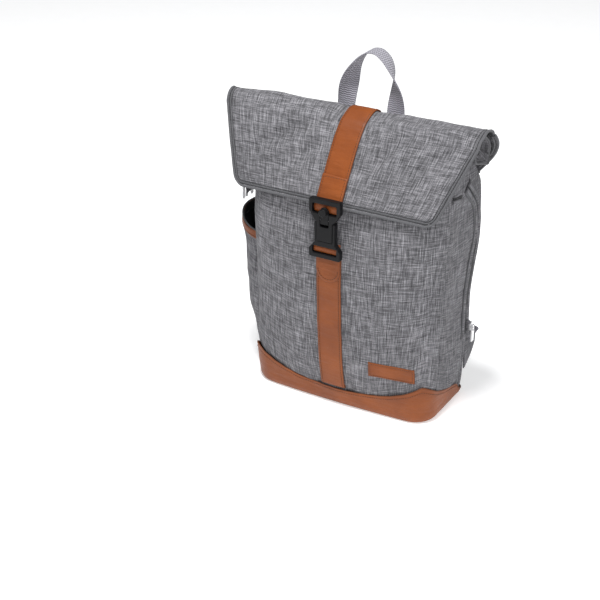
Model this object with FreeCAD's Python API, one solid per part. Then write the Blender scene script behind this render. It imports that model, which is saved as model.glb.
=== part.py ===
import FreeCAD, Part
import math
import os

# Fold-over backpack for baby care, standing upright on its flat base.
# Millimetres. X runs to the bag's right, Y towards the wearer's back, Z up.
# The origin is the centre of the base, on the surface that the bag stands on.

V = FreeCAD.Vector

# ---------------------------------------------------------------- driving sizes
WALL = 3.0                # outer fabric with its foam
LINING = 0.8              # lining cloth
GAP = 0.3                 # air between cloth layers that only lie on each other
STRAP_WIDTH = 36.0        # leather strap and the hardware it runs through
STRAP_THICK = 2.0
WEBBING_WIDTH = 25.0
WEBBING_THICK = 1.8

# The body as horizontal sections:
# height, half width, front, back, front corner radius, bow of the front face
BODY_SECTIONS = (
    (0, 128, -54, 54, 26, 2),
    (12, 136, -62, 60, 32, 4),
    (70, 139, -74, 61, 34, 8),
    (130, 141, -80, 62, 34, 10),
    (200, 144, -82, 62, 34, 11),
    (260, 147, -81, 62, 34, 11),
    (300, 148, -76, 62, 34, 9),
    (318, 148, -70, 60, 32, 8),
    (331, 148, -62, 51, 28, 6),
    (345, 148, -55, 41, 24, 4),
    (365, 148, -46, 27, 18, 2),
)
BACK_CORNER = 14.0
MOUTH_Z = 365.0
FRONT_SEAM_Y = -34.0      # front panel meets the gussets
BACK_SEAM_Y = 44.0        # gussets meet the back panel

# Upper edge of the leather base: across the front, then back along the sides
SMILE_FRONT = ((0, 29), (55, 32), (97, 44), (130, 62), (175, 90))
SMILE_SIDE = ((-105, 78), (-60, 62), (-30, 46), (0, 35), (33, 25), (48, 12), (105, 11))

# The rolled fold that closes the mouth, and the flap that hangs from it
ROLL_Y = -15.0
ROLL_Z = 384.0
ROLL_RADIUS = 28.0
ROLL_HALF = 187.0
FLAP_LOW_Y = -85.0
FLAP_LOW_Z = 303.0
FLAP_LOW_HALF = 152.0
FLAP_BOW = 18.0
FLAP_CORNER_RADIUS = 16.0
FLAP_OUTER = 2.0
FLAP_LINING = 0.9
HINGE_GAP = 0.5           # flap cloth starts this far below the line it folds on
CREASE_Y = 60.0           # the back panel bends here when the fold tilts back
CREASE_Z = 329.0
STRAP_HINGE_GAP = 8.0     # the strap's two lengths stop this far from the same line
PIPING_RADIUS = 1.7

# Buckle, from its top bar down
BUCKLE_TOP = 314.0
BUCKLE_BACK = -88.0
BUCKLE_DEPTH = 9.0
FRAME_WIDTH = 45.0
PLUG_BAR = 6.5
PLUG_WINDOW = 13.0
NECK_LENGTH = 13.0
TONGUE_WIDTH = 22.5
SOCKET_WIDTH = 29.5
SOCKET_TOP = 283.0
SOCKET_TRAY_FLOOR = 254.0
SOCKET_WINDOW_TOP = 249.0
SOCKET_WINDOW_LOW = 239.0
SOCKET_LOW = 233.0
RUNNING_FIT = 0.4
LEVER_PIN_Z = 286.0
LEVER_PIN_RADIUS = 1.2
LEVER_BORE_RADIUS = 1.25
KNOB_Z = 298.0
KNOB_RADIUS = 5.5
STRAP_WINDOW_HALF = 17.5
LEVER_HALF = 5.9
LEVER_LOW_Z = 280.5
LEVER_SLOT_HALF = 6.3

# Carrying handle
HANDLE_FOOT_X = 35.0
HANDLE_TOP_Z = 473.0
HANDLE_Y = 22.7
HANDLE_FOOT_Z = 386.0

# Bottle pocket on the left gusset
POCKET_LOW_Z = 80.0
POCKET_FRONT_RIM_Z = 204.0
POCKET_BACK_RIM_Z = 240.0
POCKET_BULGE = 42.0
POCKET_WALL = 2.0
POCKET_TRIM = 13.0
POCKET_MIDDLE_Y = 4.0
POCKET_HALF_DEPTH = 38.0

# Side zip on the right gusset
ZIP_MIDDLE = ((4, 328), (20, 312), (33, 296), (43, 262), (46, 225), (45, 160), (43, 96))
ZIP_BAND_WIDTH = 16.0
ZIP_TAPE_WIDTH = 24.0
SIDE_SLIDER_Z = 112.0
SIDE_SLIDER_Y = 43.9
SIDE_TAPE_X = 145.2       # outer face of the side zip's tape at the slider
LUG_REACH = 5.3           # crossbar of a pull, out from the tape's face

# Zip end on the left gusset with its two sliders
TAIL_Z = 287.0
TAIL_FRONT_Y = -64.0
TAIL_BACK_Y = 38.0
MAIN_TAPE_X = -149.3      # outer face of the zip end at its sliders
MAIN_SLIDERS = (("a", -42.0), ("b", -22.0))
PULL_LENGTH = 23.0

# Shoulder straps
PAD_THICK = 11.0
PAD_WIDTH = 58.0
PAD_SIDE_VIEW = ((72, 330), (90, 296), (102, 250), (105, 205), (101, 165), (95, 132))
PAD_BACK_VIEW = ((44, 336), (50, 300), (60, 255), (70, 205), (77, 165), (82, 128))
LOCK_X = 84.0
LOCK_Y = 96.0
LOCK_Z = 118.0
WING_TIP_Z = 74.0


# ---------------------------------------------------------------- small helpers
def box(x0, x1, y0, y1, z0, z1):
    return Part.makeBox(x1 - x0, y1 - y0, z1 - z0, V(x0, y0, z0))


def extruded(points, direction):
    """Straight-sided prism from a closed outline of points."""
    outline = Part.makePolygon(list(points) + [points[0]])
    return Part.Face(outline).extrude(direction)


def along_y(points, y0, y1):
    """Prism from an (x, z) outline, between two depths."""
    return extruded([V(x, y0, z) for x, z in points], V(0, y1 - y0, 0))


def along_x(points, x0, x1):
    """Prism from a (y, z) outline, between two widths."""
    return extruded([V(x0, y, z) for y, z in points], V(x1 - x0, 0, 0))


def mirrored(shape):
    return shape.mirror(V(0, 0, 0), V(1, 0, 0))


def curve(points):
    spline = Part.BSplineCurve()
    spline.interpolate(list(points))
    return spline.toShape()


def side_points(points, distance):
    """The points of a plane route, moved sideways by a distance."""
    moved = []
    for index, (a, b) in enumerate(points):
        before = points[max(index - 1, 0)]
        after = points[min(index + 1, len(points) - 1)]
        run_a, run_b = after[0] - before[0], after[1] - before[1]
        length = math.hypot(run_a, run_b)
        moved.append((a - run_b / length * distance, b + run_a / length * distance))
    return moved


def band_face(points, width, place):
    """Flat ribbon of constant width along a route; place turns a pair into a vector."""
    left = [place(*pair) for pair in side_points(points, width / 2)]
    right = [place(*pair) for pair in side_points(points, -width / 2)]
    edges = [curve(left), Part.makeLine(left[-1], right[-1]),
             curve(right), Part.makeLine(right[0], left[0])]
    return Part.Face(Part.Wire(Part.__sortEdges__(edges)))


def edges_along(shape, direction):
    """Straight edges that run in one direction."""
    found = []
    for edge in shape.Edges:
        first, last = edge.Vertexes[0].Point, edge.Vertexes[-1].Point
        run = last - first
        if run.Length > 0.01 and abs(run.normalize().dot(direction)) > 0.999:
            found.append(edge)
    return found


def edges_at_depth(shape, y):
    """Edges that lie in the plane at one depth."""
    return [edge for edge in shape.Edges
            if abs(edge.BoundBox.YMin - y) < 0.01 and abs(edge.BoundBox.YMax - y) < 0.01]


def softened_plate(points, y_front, y_back, corner, edge):
    """Moulded plate from an (x, z) outline with rounded corners and a rounded front edge."""
    plate = along_y(points, y_front, y_back)
    plate = plate.makeFillet(corner, edges_along(plate, V(0, 1, 0)))
    return plate.makeFillet(edge, edges_at_depth(plate, y_front))


def rectangle(x0, x1, z0, z1):
    return ((x0, z0), (x1, z0), (x1, z1), (x0, z1))


# ---------------------------------------------------------------- the body shell
def body_section(height, half, front, back, corner, bow, inset):
    """One closed horizontal outline of the body, moved in by an inset."""
    half, front, back = half - inset, front + inset, back - inset
    corner, rear = corner - inset, BACK_CORNER - inset
    shoulder = front + bow
    slant = math.sqrt(0.5)

    def point(x, y):
        return V(x, y, height)

    front_centre, back_centre = shoulder + corner, back - rear
    right, right_back = half - corner, half - rear
    edges = [
        Part.Arc(point(-right, shoulder), point(0, front), point(right, shoulder)).toShape(),
        Part.Arc(point(right, shoulder),
                 point(right + corner * slant, front_centre - corner * slant),
                 point(half, front_centre)).toShape(),
        Part.makeLine(point(half, front_centre), point(half, back_centre)),
        Part.Arc(point(half, back_centre),
                 point(right_back + rear * slant, back_centre + rear * slant),
                 point(right_back, back)).toShape(),
        Part.makeLine(point(right_back, back), point(-right_back, back)),
        Part.Arc(point(-right_back, back),
                 point(-right_back - rear * slant, back_centre + rear * slant),
                 point(-half, back_centre)).toShape(),
        Part.makeLine(point(-half, back_centre), point(-half, front_centre)),
        Part.Arc(point(-half, front_centre),
                 point(-right - corner * slant, front_centre - corner * slant),
                 point(-right, shoulder)).toShape(),
    ]
    return Part.Wire(edges)


def body_solid(inset, floor=0.0, lift=0.0):
    """The body's volume, moved in from the outer faces, standing on a floor height."""
    bottom, top = BODY_SECTIONS[0], BODY_SECTIONS[-1]
    wires = [body_section(floor, *bottom[1:], inset)]
    for row in BODY_SECTIONS[1:]:
        wires.append(body_section(*row, inset))
    if lift:
        wires.append(body_section(top[0] + lift, *top[1:], inset))
    return Part.makeLoft(wires, True, True)


def skin(gap, thick):
    """A thin layer lying on the outside of the body."""
    return body_solid(-gap - thick).cut(body_solid(-gap))


def below_curve(points, mirror_it, turn):
    """Everything under a rising edge line, as a block right through the body."""
    pairs = list(points)
    if mirror_it:
        pairs = [(-a, b) for a, b in reversed(pairs[1:])] + pairs
    line = curve([turn(a, b) for a, b in pairs])
    first, last = pairs[0][0], pairs[-1][0]
    low = -20.0
    rest = Part.makePolygon([turn(*pairs[-1]), turn(last, low), turn(first, low), turn(*pairs[0])])
    return Part.Face(Part.Wire(Part.__sortEdges__([line] + rest.Edges)))


def leather_zone():
    """The space that the leather base fills, under its curved upper edge."""
    front = below_curve(SMILE_FRONT, True, lambda x, z: V(x, -160, z)).extrude(V(0, 320, 0))
    side = below_curve(SMILE_SIDE, False, lambda y, z: V(-200, y, z)).extrude(V(400, 0, 0))
    return front.common(side)


def body_panels():
    """Leather base, front panel, two gussets and the back panel, all from one shell."""
    shell = body_solid(0).cut(body_solid(WALL, floor=4.0, lift=5.0))
    zone = leather_zone()
    cloth = shell.cut(zone)
    reach = 400.0
    front = box(-reach, reach, -reach, FRONT_SEAM_Y, 0, reach)
    back = box(-reach, reach, BACK_SEAM_Y, reach, 0, CREASE_Z - 11)
    rest = cloth.cut(front).cut(back)
    return {
        "base_cup": shell.common(zone),
        "front_panel": cloth.common(front),
        "back_panel": cloth.common(back),
        "left_gusset": rest.common(box(-reach, 0, -reach, reach, 0, CREASE_Z - 11)),
        "right_gusset": rest.common(box(0, reach, -reach, reach, 0, CREASE_Z - 11)),
        "mouth_collar": rest.common(box(-reach, reach, -reach, reach, CREASE_Z - 11, reach)),
    }


def lining():
    outer = body_solid(WALL + GAP, floor=4.3, lift=0.0)
    inner = body_solid(WALL + GAP + LINING, floor=5.1, lift=5.0)
    trim = box(-200, 200, -200, 200, 0, MOUTH_Z - 8)
    return outer.cut(inner).common(trim)


def base_board():
    """Stiffener that keeps the bottom flat, lying on the lining."""
    board = box(-122, 122, -47, 47, 5.5, 8.0)
    return board.makeFillet(14, edges_along(board, V(0, 0, 1)))


def tablet_sleeve():
    """Padded divider that stands in front of the back panel."""
    sheet = box(-118, 118, 36, 39, 9, 270)
    return sheet.makeFillet(16, [edge for edge in edges_along(sheet, V(0, 1, 0))
                                 if edge.BoundBox.ZMin > 200])


def inner_pockets():
    """Row of elastic pockets on the inside of the front panel, split by two seams."""
    wall = box(-116, 116, -46, -44.8, 9, 150)
    seams = [box(x - 1, x + 1, -56, -46, 9, 148) for x in (-39, 39)]
    return wall.fuse(seams)


def pocket_elastic():
    return box(-116, 116, -47.2, -43.6, 150, 158)


def back_pad():
    """Padded panel on the wearer's side, one each side of the spine channel."""
    pad = box(12, 108, 62.4, 71, 60, 286)
    pad = pad.makeFillet(22, edges_along(pad, V(0, 1, 0)))
    return pad.makeFillet(4, edges_at_depth(pad, 71))


def label_patch():
    """Blank sewn patch low on the right of the front."""
    return skin(0.1, 1.2).common(box(55, 118, -120, 0, 66, 88))


# ---------------------------------------------------------------- strap and buckle
def lower_strap():
    """Leather strap from the base seam up to the buckle socket."""
    return skin(0.1, STRAP_THICK).common(
        box(-STRAP_WIDTH / 2, STRAP_WIDTH / 2, -120, 0, 27, SOCKET_WINDOW_LOW - 5))


def lower_strap_tab():
    """Turned end of the lower strap, sewn on itself below the socket."""
    half = STRAP_WIDTH / 2
    tab = skin(STRAP_THICK + 0.2, STRAP_THICK).common(
        box(-half, half, -120, 0, 196, SOCKET_WINDOW_LOW - 3))
    corner = Part.makeCylinder(half, 60, V(0, -120, 216), V(0, 1, 0))
    return tab.common(corner.fuse(box(-half, half, -120, -60, 216, 260)))


def buckle_socket():
    """Lower half of the magnetic buckle: a tray open to the front, above its strap frame."""
    front, back = BUCKLE_BACK - BUCKLE_DEPTH + 0.6, BUCKLE_BACK
    half = SOCKET_WIDTH / 2
    wide = FRAME_WIDTH / 2
    outline = ((-half, SOCKET_TOP), (-half, SOCKET_TRAY_FLOOR), (-wide, SOCKET_WINDOW_TOP - 4),
               (-wide, SOCKET_LOW), (wide, SOCKET_LOW), (wide, SOCKET_WINDOW_TOP - 4),
               (half, SOCKET_TRAY_FLOOR), (half, SOCKET_TOP))
    plate = softened_plate(outline, front, back, 2.0, 0.8)
    window = along_y(rectangle(-STRAP_WINDOW_HALF, STRAP_WINDOW_HALF,
                               SOCKET_WINDOW_LOW, SOCKET_WINDOW_TOP), front - 1, back + 1)
    tray_half = TONGUE_WIDTH / 2 + RUNNING_FIT
    tray = along_y(rectangle(-tray_half, tray_half, SOCKET_TRAY_FLOOR + 2.4, SOCKET_TOP + 5),
                   front - 1, back - 2.8)
    magnet = box(-8.2, 8.2, back - 2.0, back - 0.5, 261.8, 274.2)
    return plate.cut(window).cut(tray).cut(magnet)


def socket_magnet():
    return box(-8, 8, BUCKLE_BACK - 1.9, BUCKLE_BACK - 0.6, 262, 274)


def buckle_plug():
    """Upper half of the buckle: strap frame, tapering neck and the tongue in the tray."""
    front, back = BUCKLE_BACK - BUCKLE_DEPTH, BUCKLE_BACK - 1.0
    window_high = BUCKLE_TOP - PLUG_BAR
    window_low = window_high - PLUG_WINDOW
    neck_low = window_low - NECK_LENGTH + 2.5
    wide, narrow = FRAME_WIDTH / 2, SOCKET_WIDTH / 2 - 1
    outline = ((-narrow, neck_low), (narrow, neck_low), (wide, window_low + 3),
               (wide, BUCKLE_TOP), (-wide, BUCKLE_TOP), (-wide, window_low + 3))
    frame = softened_plate(outline, front, back, 2.5, 0.8)
    half = TONGUE_WIDTH / 2
    tongue_low = SOCKET_TRAY_FLOOR + 2.4 + RUNNING_FIT
    tongue = softened_plate(rectangle(-half, half, tongue_low, neck_low + 2),
                            front, back - 2.2, 1.2, 0.6)
    body = frame.fuse(tongue).removeSplitter()
    window = along_y(rectangle(-STRAP_WINDOW_HALF, STRAP_WINDOW_HALF, window_low, window_high),
                     front - 1, back + 1)
    lever_slot = box(-LEVER_SLOT_HALF, LEVER_SLOT_HALF, front - 1, back - 2.0,
                     LEVER_LOW_Z - 3.5, window_low + 1)
    pin_hole = Part.makeCylinder(LEVER_PIN_RADIUS, 26, V(-13, front + 2.6, LEVER_PIN_Z),
                                 V(1, 0, 0))
    magnet = box(-8.2, 8.2, front + 2.2, front + 3.8, 261.3, 273.7)
    return body.cut(window).cut(lever_slot).cut(pin_hole).cut(magnet)


def plug_magnet():
    front = BUCKLE_BACK - BUCKLE_DEPTH
    return box(-8, 8, front + 2.3, front + 3.7, 261.5, 273.5)


def lever_pin():
    front = BUCKLE_BACK - BUCKLE_DEPTH
    return Part.makeCylinder(LEVER_PIN_RADIUS, 24, V(-12, front + 2.6, LEVER_PIN_Z), V(1, 0, 0))


def release_lever():
    """Pull lever with its round knob; the knob tips forward and lifts the catch."""
    front = BUCKLE_BACK - BUCKLE_DEPTH
    arm = box(-LEVER_HALF, LEVER_HALF, front + 0.2, front + 3.2, LEVER_LOW_Z, KNOB_Z + 1)
    eye = Part.makeCylinder(2.6, 2 * LEVER_HALF, V(-LEVER_HALF, front + 2.6, LEVER_PIN_Z),
                            V(1, 0, 0))
    knob = Part.makeCylinder(KNOB_RADIUS, 9.2, V(0, front + 3.2, KNOB_Z), V(0, -1, 0))
    knob = knob.makeFillet(1.4, edges_at_depth(knob, front - 6.0))
    bore = Part.makeCylinder(LEVER_BORE_RADIUS, 40, V(-20, front + 2.6, LEVER_PIN_Z), V(1, 0, 0))
    return arm.fuse([eye, knob]).removeSplitter().cut(bore)


# ---------------------------------------------------------------- fold and flap
def tangent_angle(y, z, turn):
    """Angle round the roll where a straight panel through (y, z) leaves it."""
    run_y, run_z = y - ROLL_Y, z - ROLL_Z
    reach = math.hypot(run_y, run_z)
    return math.atan2(run_z, run_y) + turn * math.acos(ROLL_RADIUS / reach)


FRONT_ANGLE = tangent_angle(FLAP_LOW_Y, FLAP_LOW_Z, -1) + 2 * math.pi
BACK_ANGLE = tangent_angle(CREASE_Y, CREASE_Z, 1)


def on_roll(radius, angle, x=0.0):
    return V(x, ROLL_Y + radius * math.cos(angle), ROLL_Z + radius * math.sin(angle))


def roll_shell(outer, inner, half, start, end):
    """Part of a round shell about the roll's own line."""
    middle = (start + end) / 2
    face = Part.Face(Part.Wire([
        Part.Arc(on_roll(outer, start, -half), on_roll(outer, middle, -half),
                 on_roll(outer, end, -half)).toShape(),
        Part.makeLine(on_roll(outer, end, -half), on_roll(inner, end, -half)),
        Part.Arc(on_roll(inner, end, -half), on_roll(inner, middle, -half),
                 on_roll(inner, start, -half)).toShape(),
        Part.makeLine(on_roll(inner, start, -half), on_roll(outer, start, -half)),
    ]))
    return face.extrude(V(2 * half, 0, 0))


def back_extension(outer, inner):
    """Back panel above the crease: it leans forward and widens up to the roll."""
    foot = V(0, CREASE_Y, CREASE_Z + 2)
    out = V(0, math.cos(BACK_ANGLE), math.sin(BACK_ANGLE))
    top = on_roll(0, BACK_ANGLE)
    reach = (foot - top).dot(out)
    low = foot - out * (reach - ROLL_RADIUS)

    def corner(point, depth, x):
        moved = point - out * (ROLL_RADIUS - depth)
        return V(x, moved.y, moved.z)

    high = top + out * ROLL_RADIUS
    wires = []
    for point, half in ((low, 138.0), (high, ROLL_HALF)):
        wires.append(Part.makePolygon([
            corner(point, outer, -half), corner(point, outer, half),
            corner(point, inner, half), corner(point, inner, -half),
            corner(point, outer, -half)]))
    return Part.makeLoft(wires, True, True)


def flap_down():
    """Unit vector down the middle of the flap, from the roll to the lower edge."""
    run = V(0, FLAP_LOW_Y, FLAP_LOW_Z) - on_roll(ROLL_RADIUS, FRONT_ANGLE)
    return run.normalize()


def flap_section(depth_out, depth_in, half, middle, bow):
    """Cross section of the flap, flat in the plane square to it, bowed round the front."""
    out = V(0, math.cos(FRONT_ANGLE), math.sin(FRONT_ANGLE))

    def place(x, depth):
        point = middle + out * (depth - ROLL_RADIUS - bow * (x / half) ** 2)
        return V(x, point.y, point.z)

    return Part.Wire([
        Part.Arc(place(-half, depth_out), place(0, depth_out), place(half, depth_out)).toShape(),
        Part.makeLine(place(half, depth_out), place(half, depth_in)),
        Part.Arc(place(half, depth_in), place(0, depth_in), place(-half, depth_in)).toShape(),
        Part.makeLine(place(-half, depth_in), place(-half, depth_out)),
    ])


def flap_outline(trim):
    """Front outline of the flap, which rounds its two lower corners."""
    low = FLAP_LOW_Z - FLAP_BOW * math.sin(FRONT_ANGLE) + trim - 1.0
    high = ROLL_Z + ROLL_RADIUS
    half_low, half_high = FLAP_LOW_HALF - trim + 1.0, ROLL_HALF + 8.0 - trim
    block = along_y(((-half_high, high), (half_high, high), (half_low, low), (-half_low, low)),
                    -200, 0)
    corners = [edge for edge in edges_along(block, V(0, 1, 0)) if edge.BoundBox.ZMax < low + 1]
    return block.makeFillet(FLAP_CORNER_RADIUS - trim, corners)


def flap_sheet(outer, inner, trim=0.0):
    """Front of the fold: straight at the roll, bowed round the front at its lower edge."""
    top = on_roll(ROLL_RADIUS, FRONT_ANGLE) + flap_down() * HINGE_GAP
    low = V(0, FLAP_LOW_Y, FLAP_LOW_Z) - flap_down() * trim
    top_wire = flap_section(outer, inner, ROLL_HALF - trim, top, 0.5)
    low_wire = flap_section(outer, inner, FLAP_LOW_HALF - trim, low, FLAP_BOW)
    return Part.makeLoft([top_wire, low_wire], True, True).common(flap_outline(trim))


def flap_piping():
    """Corded edge along both sides and the bottom of the flap."""
    edge = flap_sheet(ROLL_RADIUS + 0.4, ROLL_RADIUS - 3.4)
    return edge.cut(flap_sheet(ROLL_RADIUS + 2.0, ROLL_RADIUS - 6.0, 2 * PIPING_RADIUS))


def flap_strip(width, depth_low, depth_high, from_top, to_low):
    """Band down the middle of the flap, lying on its outer face."""
    out = V(0, math.cos(FRONT_ANGLE), math.sin(FRONT_ANGLE))
    length = (V(0, FLAP_LOW_Y, FLAP_LOW_Z) - on_roll(ROLL_RADIUS, FRONT_ANGLE)).Length
    corners = []
    for run, depth in ((from_top, depth_low), (from_top, depth_high),
                       (length - to_low, depth_high), (length - to_low, depth_low)):
        point = on_roll(ROLL_RADIUS, FRONT_ANGLE) + flap_down() * run + out * depth
        corners.append((point.y, point.z))
    return along_x(corners, -width / 2, width / 2)


def upper_strap():
    return flap_strip(STRAP_WIDTH, 0.4, 0.4 + STRAP_THICK, STRAP_HINGE_GAP, 2.0)


def upper_strap_tab():
    """Turned end of the upper strap: it comes back up under a cross seam."""
    return flap_strip(STRAP_WIDTH - 1, 0.6 + STRAP_THICK, 0.6 + 2 * STRAP_THICK, 66.0, 10.0)


def roll_strap():
    """The strap where it goes over the roll to the back seam."""
    return roll_shell(ROLL_RADIUS + 0.4 + STRAP_THICK, ROLL_RADIUS + 0.4, STRAP_WIDTH / 2,
                      BACK_ANGLE, FRONT_ANGLE - STRAP_HINGE_GAP / ROLL_RADIUS)


# ---------------------------------------------------------------- handle
def handle_section(centre, across, thin):
    """Rectangular webbing section, given its two half axes."""
    corners = [centre + across + thin, centre + across - thin,
               centre - across - thin, centre - across + thin]
    return Part.makePolygon(corners + [corners[0]])


def carry_handle():
    """Webbing loop: flat on the panel at its feet, turning flat to the hand at the top."""
    wires = []
    steps = 12
    side, back = V(1, 0, 0), V(0, 1, 0)
    for step in range(steps + 1):
        turn = math.pi * step / steps
        rise = math.sin(turn)
        centre = V(-HANDLE_FOOT_X * math.cos(turn), HANDLE_Y + 9 * rise,
                   HANDLE_FOOT_Z + (HANDLE_TOP_Z - HANDLE_FOOT_Z - 1) * rise ** 0.8)
        twist = math.pi / 2 * rise ** 1.5
        across = side * math.cos(twist) + back * math.sin(twist)
        slope = math.atan2(math.cos(turn), rise * HANDLE_FOOT_X / 80 + 0.25)
        along = V(math.cos(slope), 0, math.sin(slope))
        along = (along - across * along.dot(across)).normalize()
        wires.append(handle_section(centre, across * (WEBBING_WIDTH / 2), across.cross(along)))
    return Part.makeLoft(wires, True, True)


def handle_anchor():
    """Sewn foot of the handle, flat on the leaning back panel."""
    out = V(0, math.cos(BACK_ANGLE), math.sin(BACK_ANGLE))
    up = V(0, -out.z, out.y)
    top = on_roll(ROLL_RADIUS + 0.4, BACK_ANGLE) - up * 14
    low = top - up * 34
    corners = [top, top + out * 2.0, low + out * 2.0, low]
    x0 = HANDLE_FOOT_X - WEBBING_WIDTH / 2
    return along_x([(p.y, p.z) for p in corners], x0, x0 + WEBBING_WIDTH)


# ---------------------------------------------------------------- bottle pocket
def pocket_volume(wall, low, high):
    """Pouch on the left gusset, growing from nothing at its foot to a full rim."""
    wires = []
    for share in (0.0, 0.35, 0.7, 1.0):
        z = low + (high - low) * share
        bulge = (POCKET_BULGE - wall) * math.sin(math.pi / 2 * (0.12 + 0.88 * share))
        depth = POCKET_HALF_DEPTH - wall
        arc = Part.Arc(V(-138, POCKET_MIDDLE_Y - depth, z),
                       V(-145 - bulge, POCKET_MIDDLE_Y, z),
                       V(-138, POCKET_MIDDLE_Y + depth, z)).toShape()
        line = Part.makeLine(V(-138, POCKET_MIDDLE_Y + depth, z),
                             V(-138, POCKET_MIDDLE_Y - depth, z))
        wires.append(Part.Wire([arc, line]))
    return Part.makeLoft(wires, True, True)


def below_rim(drop):
    """Space under the slanting rim of the pocket, lowered by a drop."""
    front, back = POCKET_MIDDLE_Y - POCKET_HALF_DEPTH, POCKET_MIDDLE_Y + POCKET_HALF_DEPTH
    return along_x(((front - 30, 0), (back + 30, 0), (back + 30, POCKET_BACK_RIM_Z + 14 - drop),
                    (front - 30, POCKET_FRONT_RIM_Z - 14 - drop)), -260, 0)


def bottle_pocket_parts():
    outer = pocket_volume(0, POCKET_LOW_Z, 262)
    inner = pocket_volume(POCKET_WALL, POCKET_LOW_Z + 3, 264)
    wall = outer.cut(inner).cut(body_solid(-0.1))
    pouch = wall.common(below_rim(POCKET_TRIM))
    trim = wall.common(below_rim(0)).cut(below_rim(POCKET_TRIM))
    return pouch, trim


# ---------------------------------------------------------------- zips
def side_zip_tape():
    """Zip tapes of the long opening down the right side."""
    band = band_face(ZIP_MIDDLE, ZIP_TAPE_WIDTH, lambda y, z: V(130, y, z)).extrude(V(60, 0, 0))
    return skin(0.1, 0.8).common(band)


def side_zip_lip(side):
    """Covering lip on one side of the zip, with a narrow gap down the middle."""
    route = side_points(ZIP_MIDDLE, side * (ZIP_BAND_WIDTH / 4 + 0.6))
    band = band_face(route, ZIP_BAND_WIDTH / 2 - 1.2,
                     lambda y, z: V(130, y, z)).extrude(V(60, 0, 0))
    return skin(1.0, 1.6).common(band).cut(side_slider_room())


def side_slider_room():
    """Space that the lips leave round the slider over its whole travel."""
    return box(140, 170, SIDE_SLIDER_Y - 4.2, SIDE_SLIDER_Y + 5.8, 98, 232)


def zip_slider(face_x, y, z, outward, half_y, half_z):
    """Slider body on a tape's face, with a drilled lug for its pull."""
    near, far, top = [face_x + outward * step for step in (1.5, 3.9, 6.9)]
    wedge = box(min(near, far), max(near, far), y - half_y, y + half_y, z - half_z, z + half_z)
    wedge = wedge.makeFillet(2.4, edges_along(wedge, V(1, 0, 0)))
    lug = box(min(far, top), max(far, top), y - 0.8, y + 0.8, z - 3.5, z + 3.0)
    hole = Part.makeCylinder(1.3, 20, V(face_x + outward * LUG_REACH, y - 10, z), V(0, 1, 0))
    return wedge.fuse(lug).cut(hole)


def zip_pull(face_x, y, z, outward, length, half):
    """Flat pull hanging from the slider's lug on its own crossbar."""
    x = face_x + outward * LUG_REACH
    bar = Part.makeCylinder(0.9, 2 * half, V(x, y - half, z), V(0, 1, 0))
    cheeks = [box(x - 0.9, x + 0.9, min(inner, outer), max(inner, outer), z - 8, z + 0.9)
              for inner, outer in ((y - half, y - half + 1.1), (y + half - 1.1, y + half))]
    blade = box(x - 0.9, x + 0.9, y - half, y + half, z - length, z - 6.5)
    return bar.fuse(cheeks + [blade]).removeSplitter()


def side_slider():
    return zip_slider(SIDE_TAPE_X, SIDE_SLIDER_Y, SIDE_SLIDER_Z, 1, 4.0, 6.0)


def side_pull():
    return zip_pull(SIDE_TAPE_X, SIDE_SLIDER_Y, SIDE_SLIDER_Z, 1, 22.0, 3.4)


def zip_end():
    """Zip end on the left gusset, just under the flap, where the two sliders park."""
    return skin(0.1, 1.2).common(
        box(-170, -100, TAIL_FRONT_Y, TAIL_BACK_Y, TAIL_Z - 12, TAIL_Z + 12))


def main_slider(y):
    return zip_slider(MAIN_TAPE_X, y, TAIL_Z, -1, 5.0, 4.2)


def main_pull(y):
    return zip_pull(MAIN_TAPE_X, y, TAIL_Z, -1, PULL_LENGTH, 2.7)


def mouth_tape(front):
    """Zip tape standing on the mouth's rim, at the front or at the back."""
    top = BODY_SECTIONS[-1]
    y = top[2] + 1.0 if front else top[3] - 2.2
    return box(-122, 122, y, y + 1.2, MOUTH_Z + 0.05, MOUTH_Z + 7)


def pocket_welt():
    """Welt of the small slit pocket at the top of the right gusset."""
    strip = along_x(((-36, 327), (-9, 321.6), (-9, 315.6), (-36, 321)), 130, 190)
    return skin(0.1, 1.2).common(strip)


# ---------------------------------------------------------------- shoulder straps
def strap_pad():
    side_view = band_face(PAD_SIDE_VIEW, PAD_THICK, lambda y, z: V(0, y, z)).extrude(V(130, 0, 0))
    back_view = band_face(PAD_BACK_VIEW, PAD_WIDTH, lambda x, z: V(x, 40, z)).extrude(V(0, 90, 0))
    return side_view.common(back_view)


def strap_yoke():
    """Cross panel on the back that covers the tops of both shoulder straps."""
    return box(-84, 84, 62.4, 66, 292, 326)


def pad_root():
    """Wedge of doubled cloth that joins the top of a shoulder strap to the yoke."""
    wedge = along_x(((66.1, 308), (80, 316), (80, 327), (66.1, 327)), 20, 70)
    return wedge.cut(strap_pad())


def strap_wing():
    """Triangular tab in the side seam that the lower webbing is sewn to."""
    return along_x(((58.9, 34), (58.9, 100), (92, 84), (92, 64)), 133, 136)


def lower_webbing():
    """Webbing from the wing's tip up to the ladder lock."""
    half = 10.0
    lean = math.sqrt(0.5)
    start, end = (132, WING_TIP_Z), (LOCK_X + 3, LOCK_Z - 9)
    points = [(start[0] - half * lean, start[1] - half * lean),
              (start[0] + half * lean, start[1] + half * lean),
              (end[0] + half * lean, end[1] + half * lean),
              (end[0] - half * lean, end[1] - half * lean)]
    strip = along_y(points, 92.4, 92.4 + WEBBING_THICK)
    return strip


def ladder_lock():
    """Two-window adjuster under the strap pad."""
    x, y, z = LOCK_X, LOCK_Y, LOCK_Z
    plate = box(x - 17, x + 17, y, y + 4, z - 9, z + 9)
    plate = plate.makeFillet(3, edges_along(plate, V(0, 1, 0)))
    for low, high in ((z - 6.5, z - 1.2), (z + 1.2, z + 6.5)):
        plate = plate.cut(box(x - 13.5, x + 13.5, y - 1, y + 5, low, high))
    return plate


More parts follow.
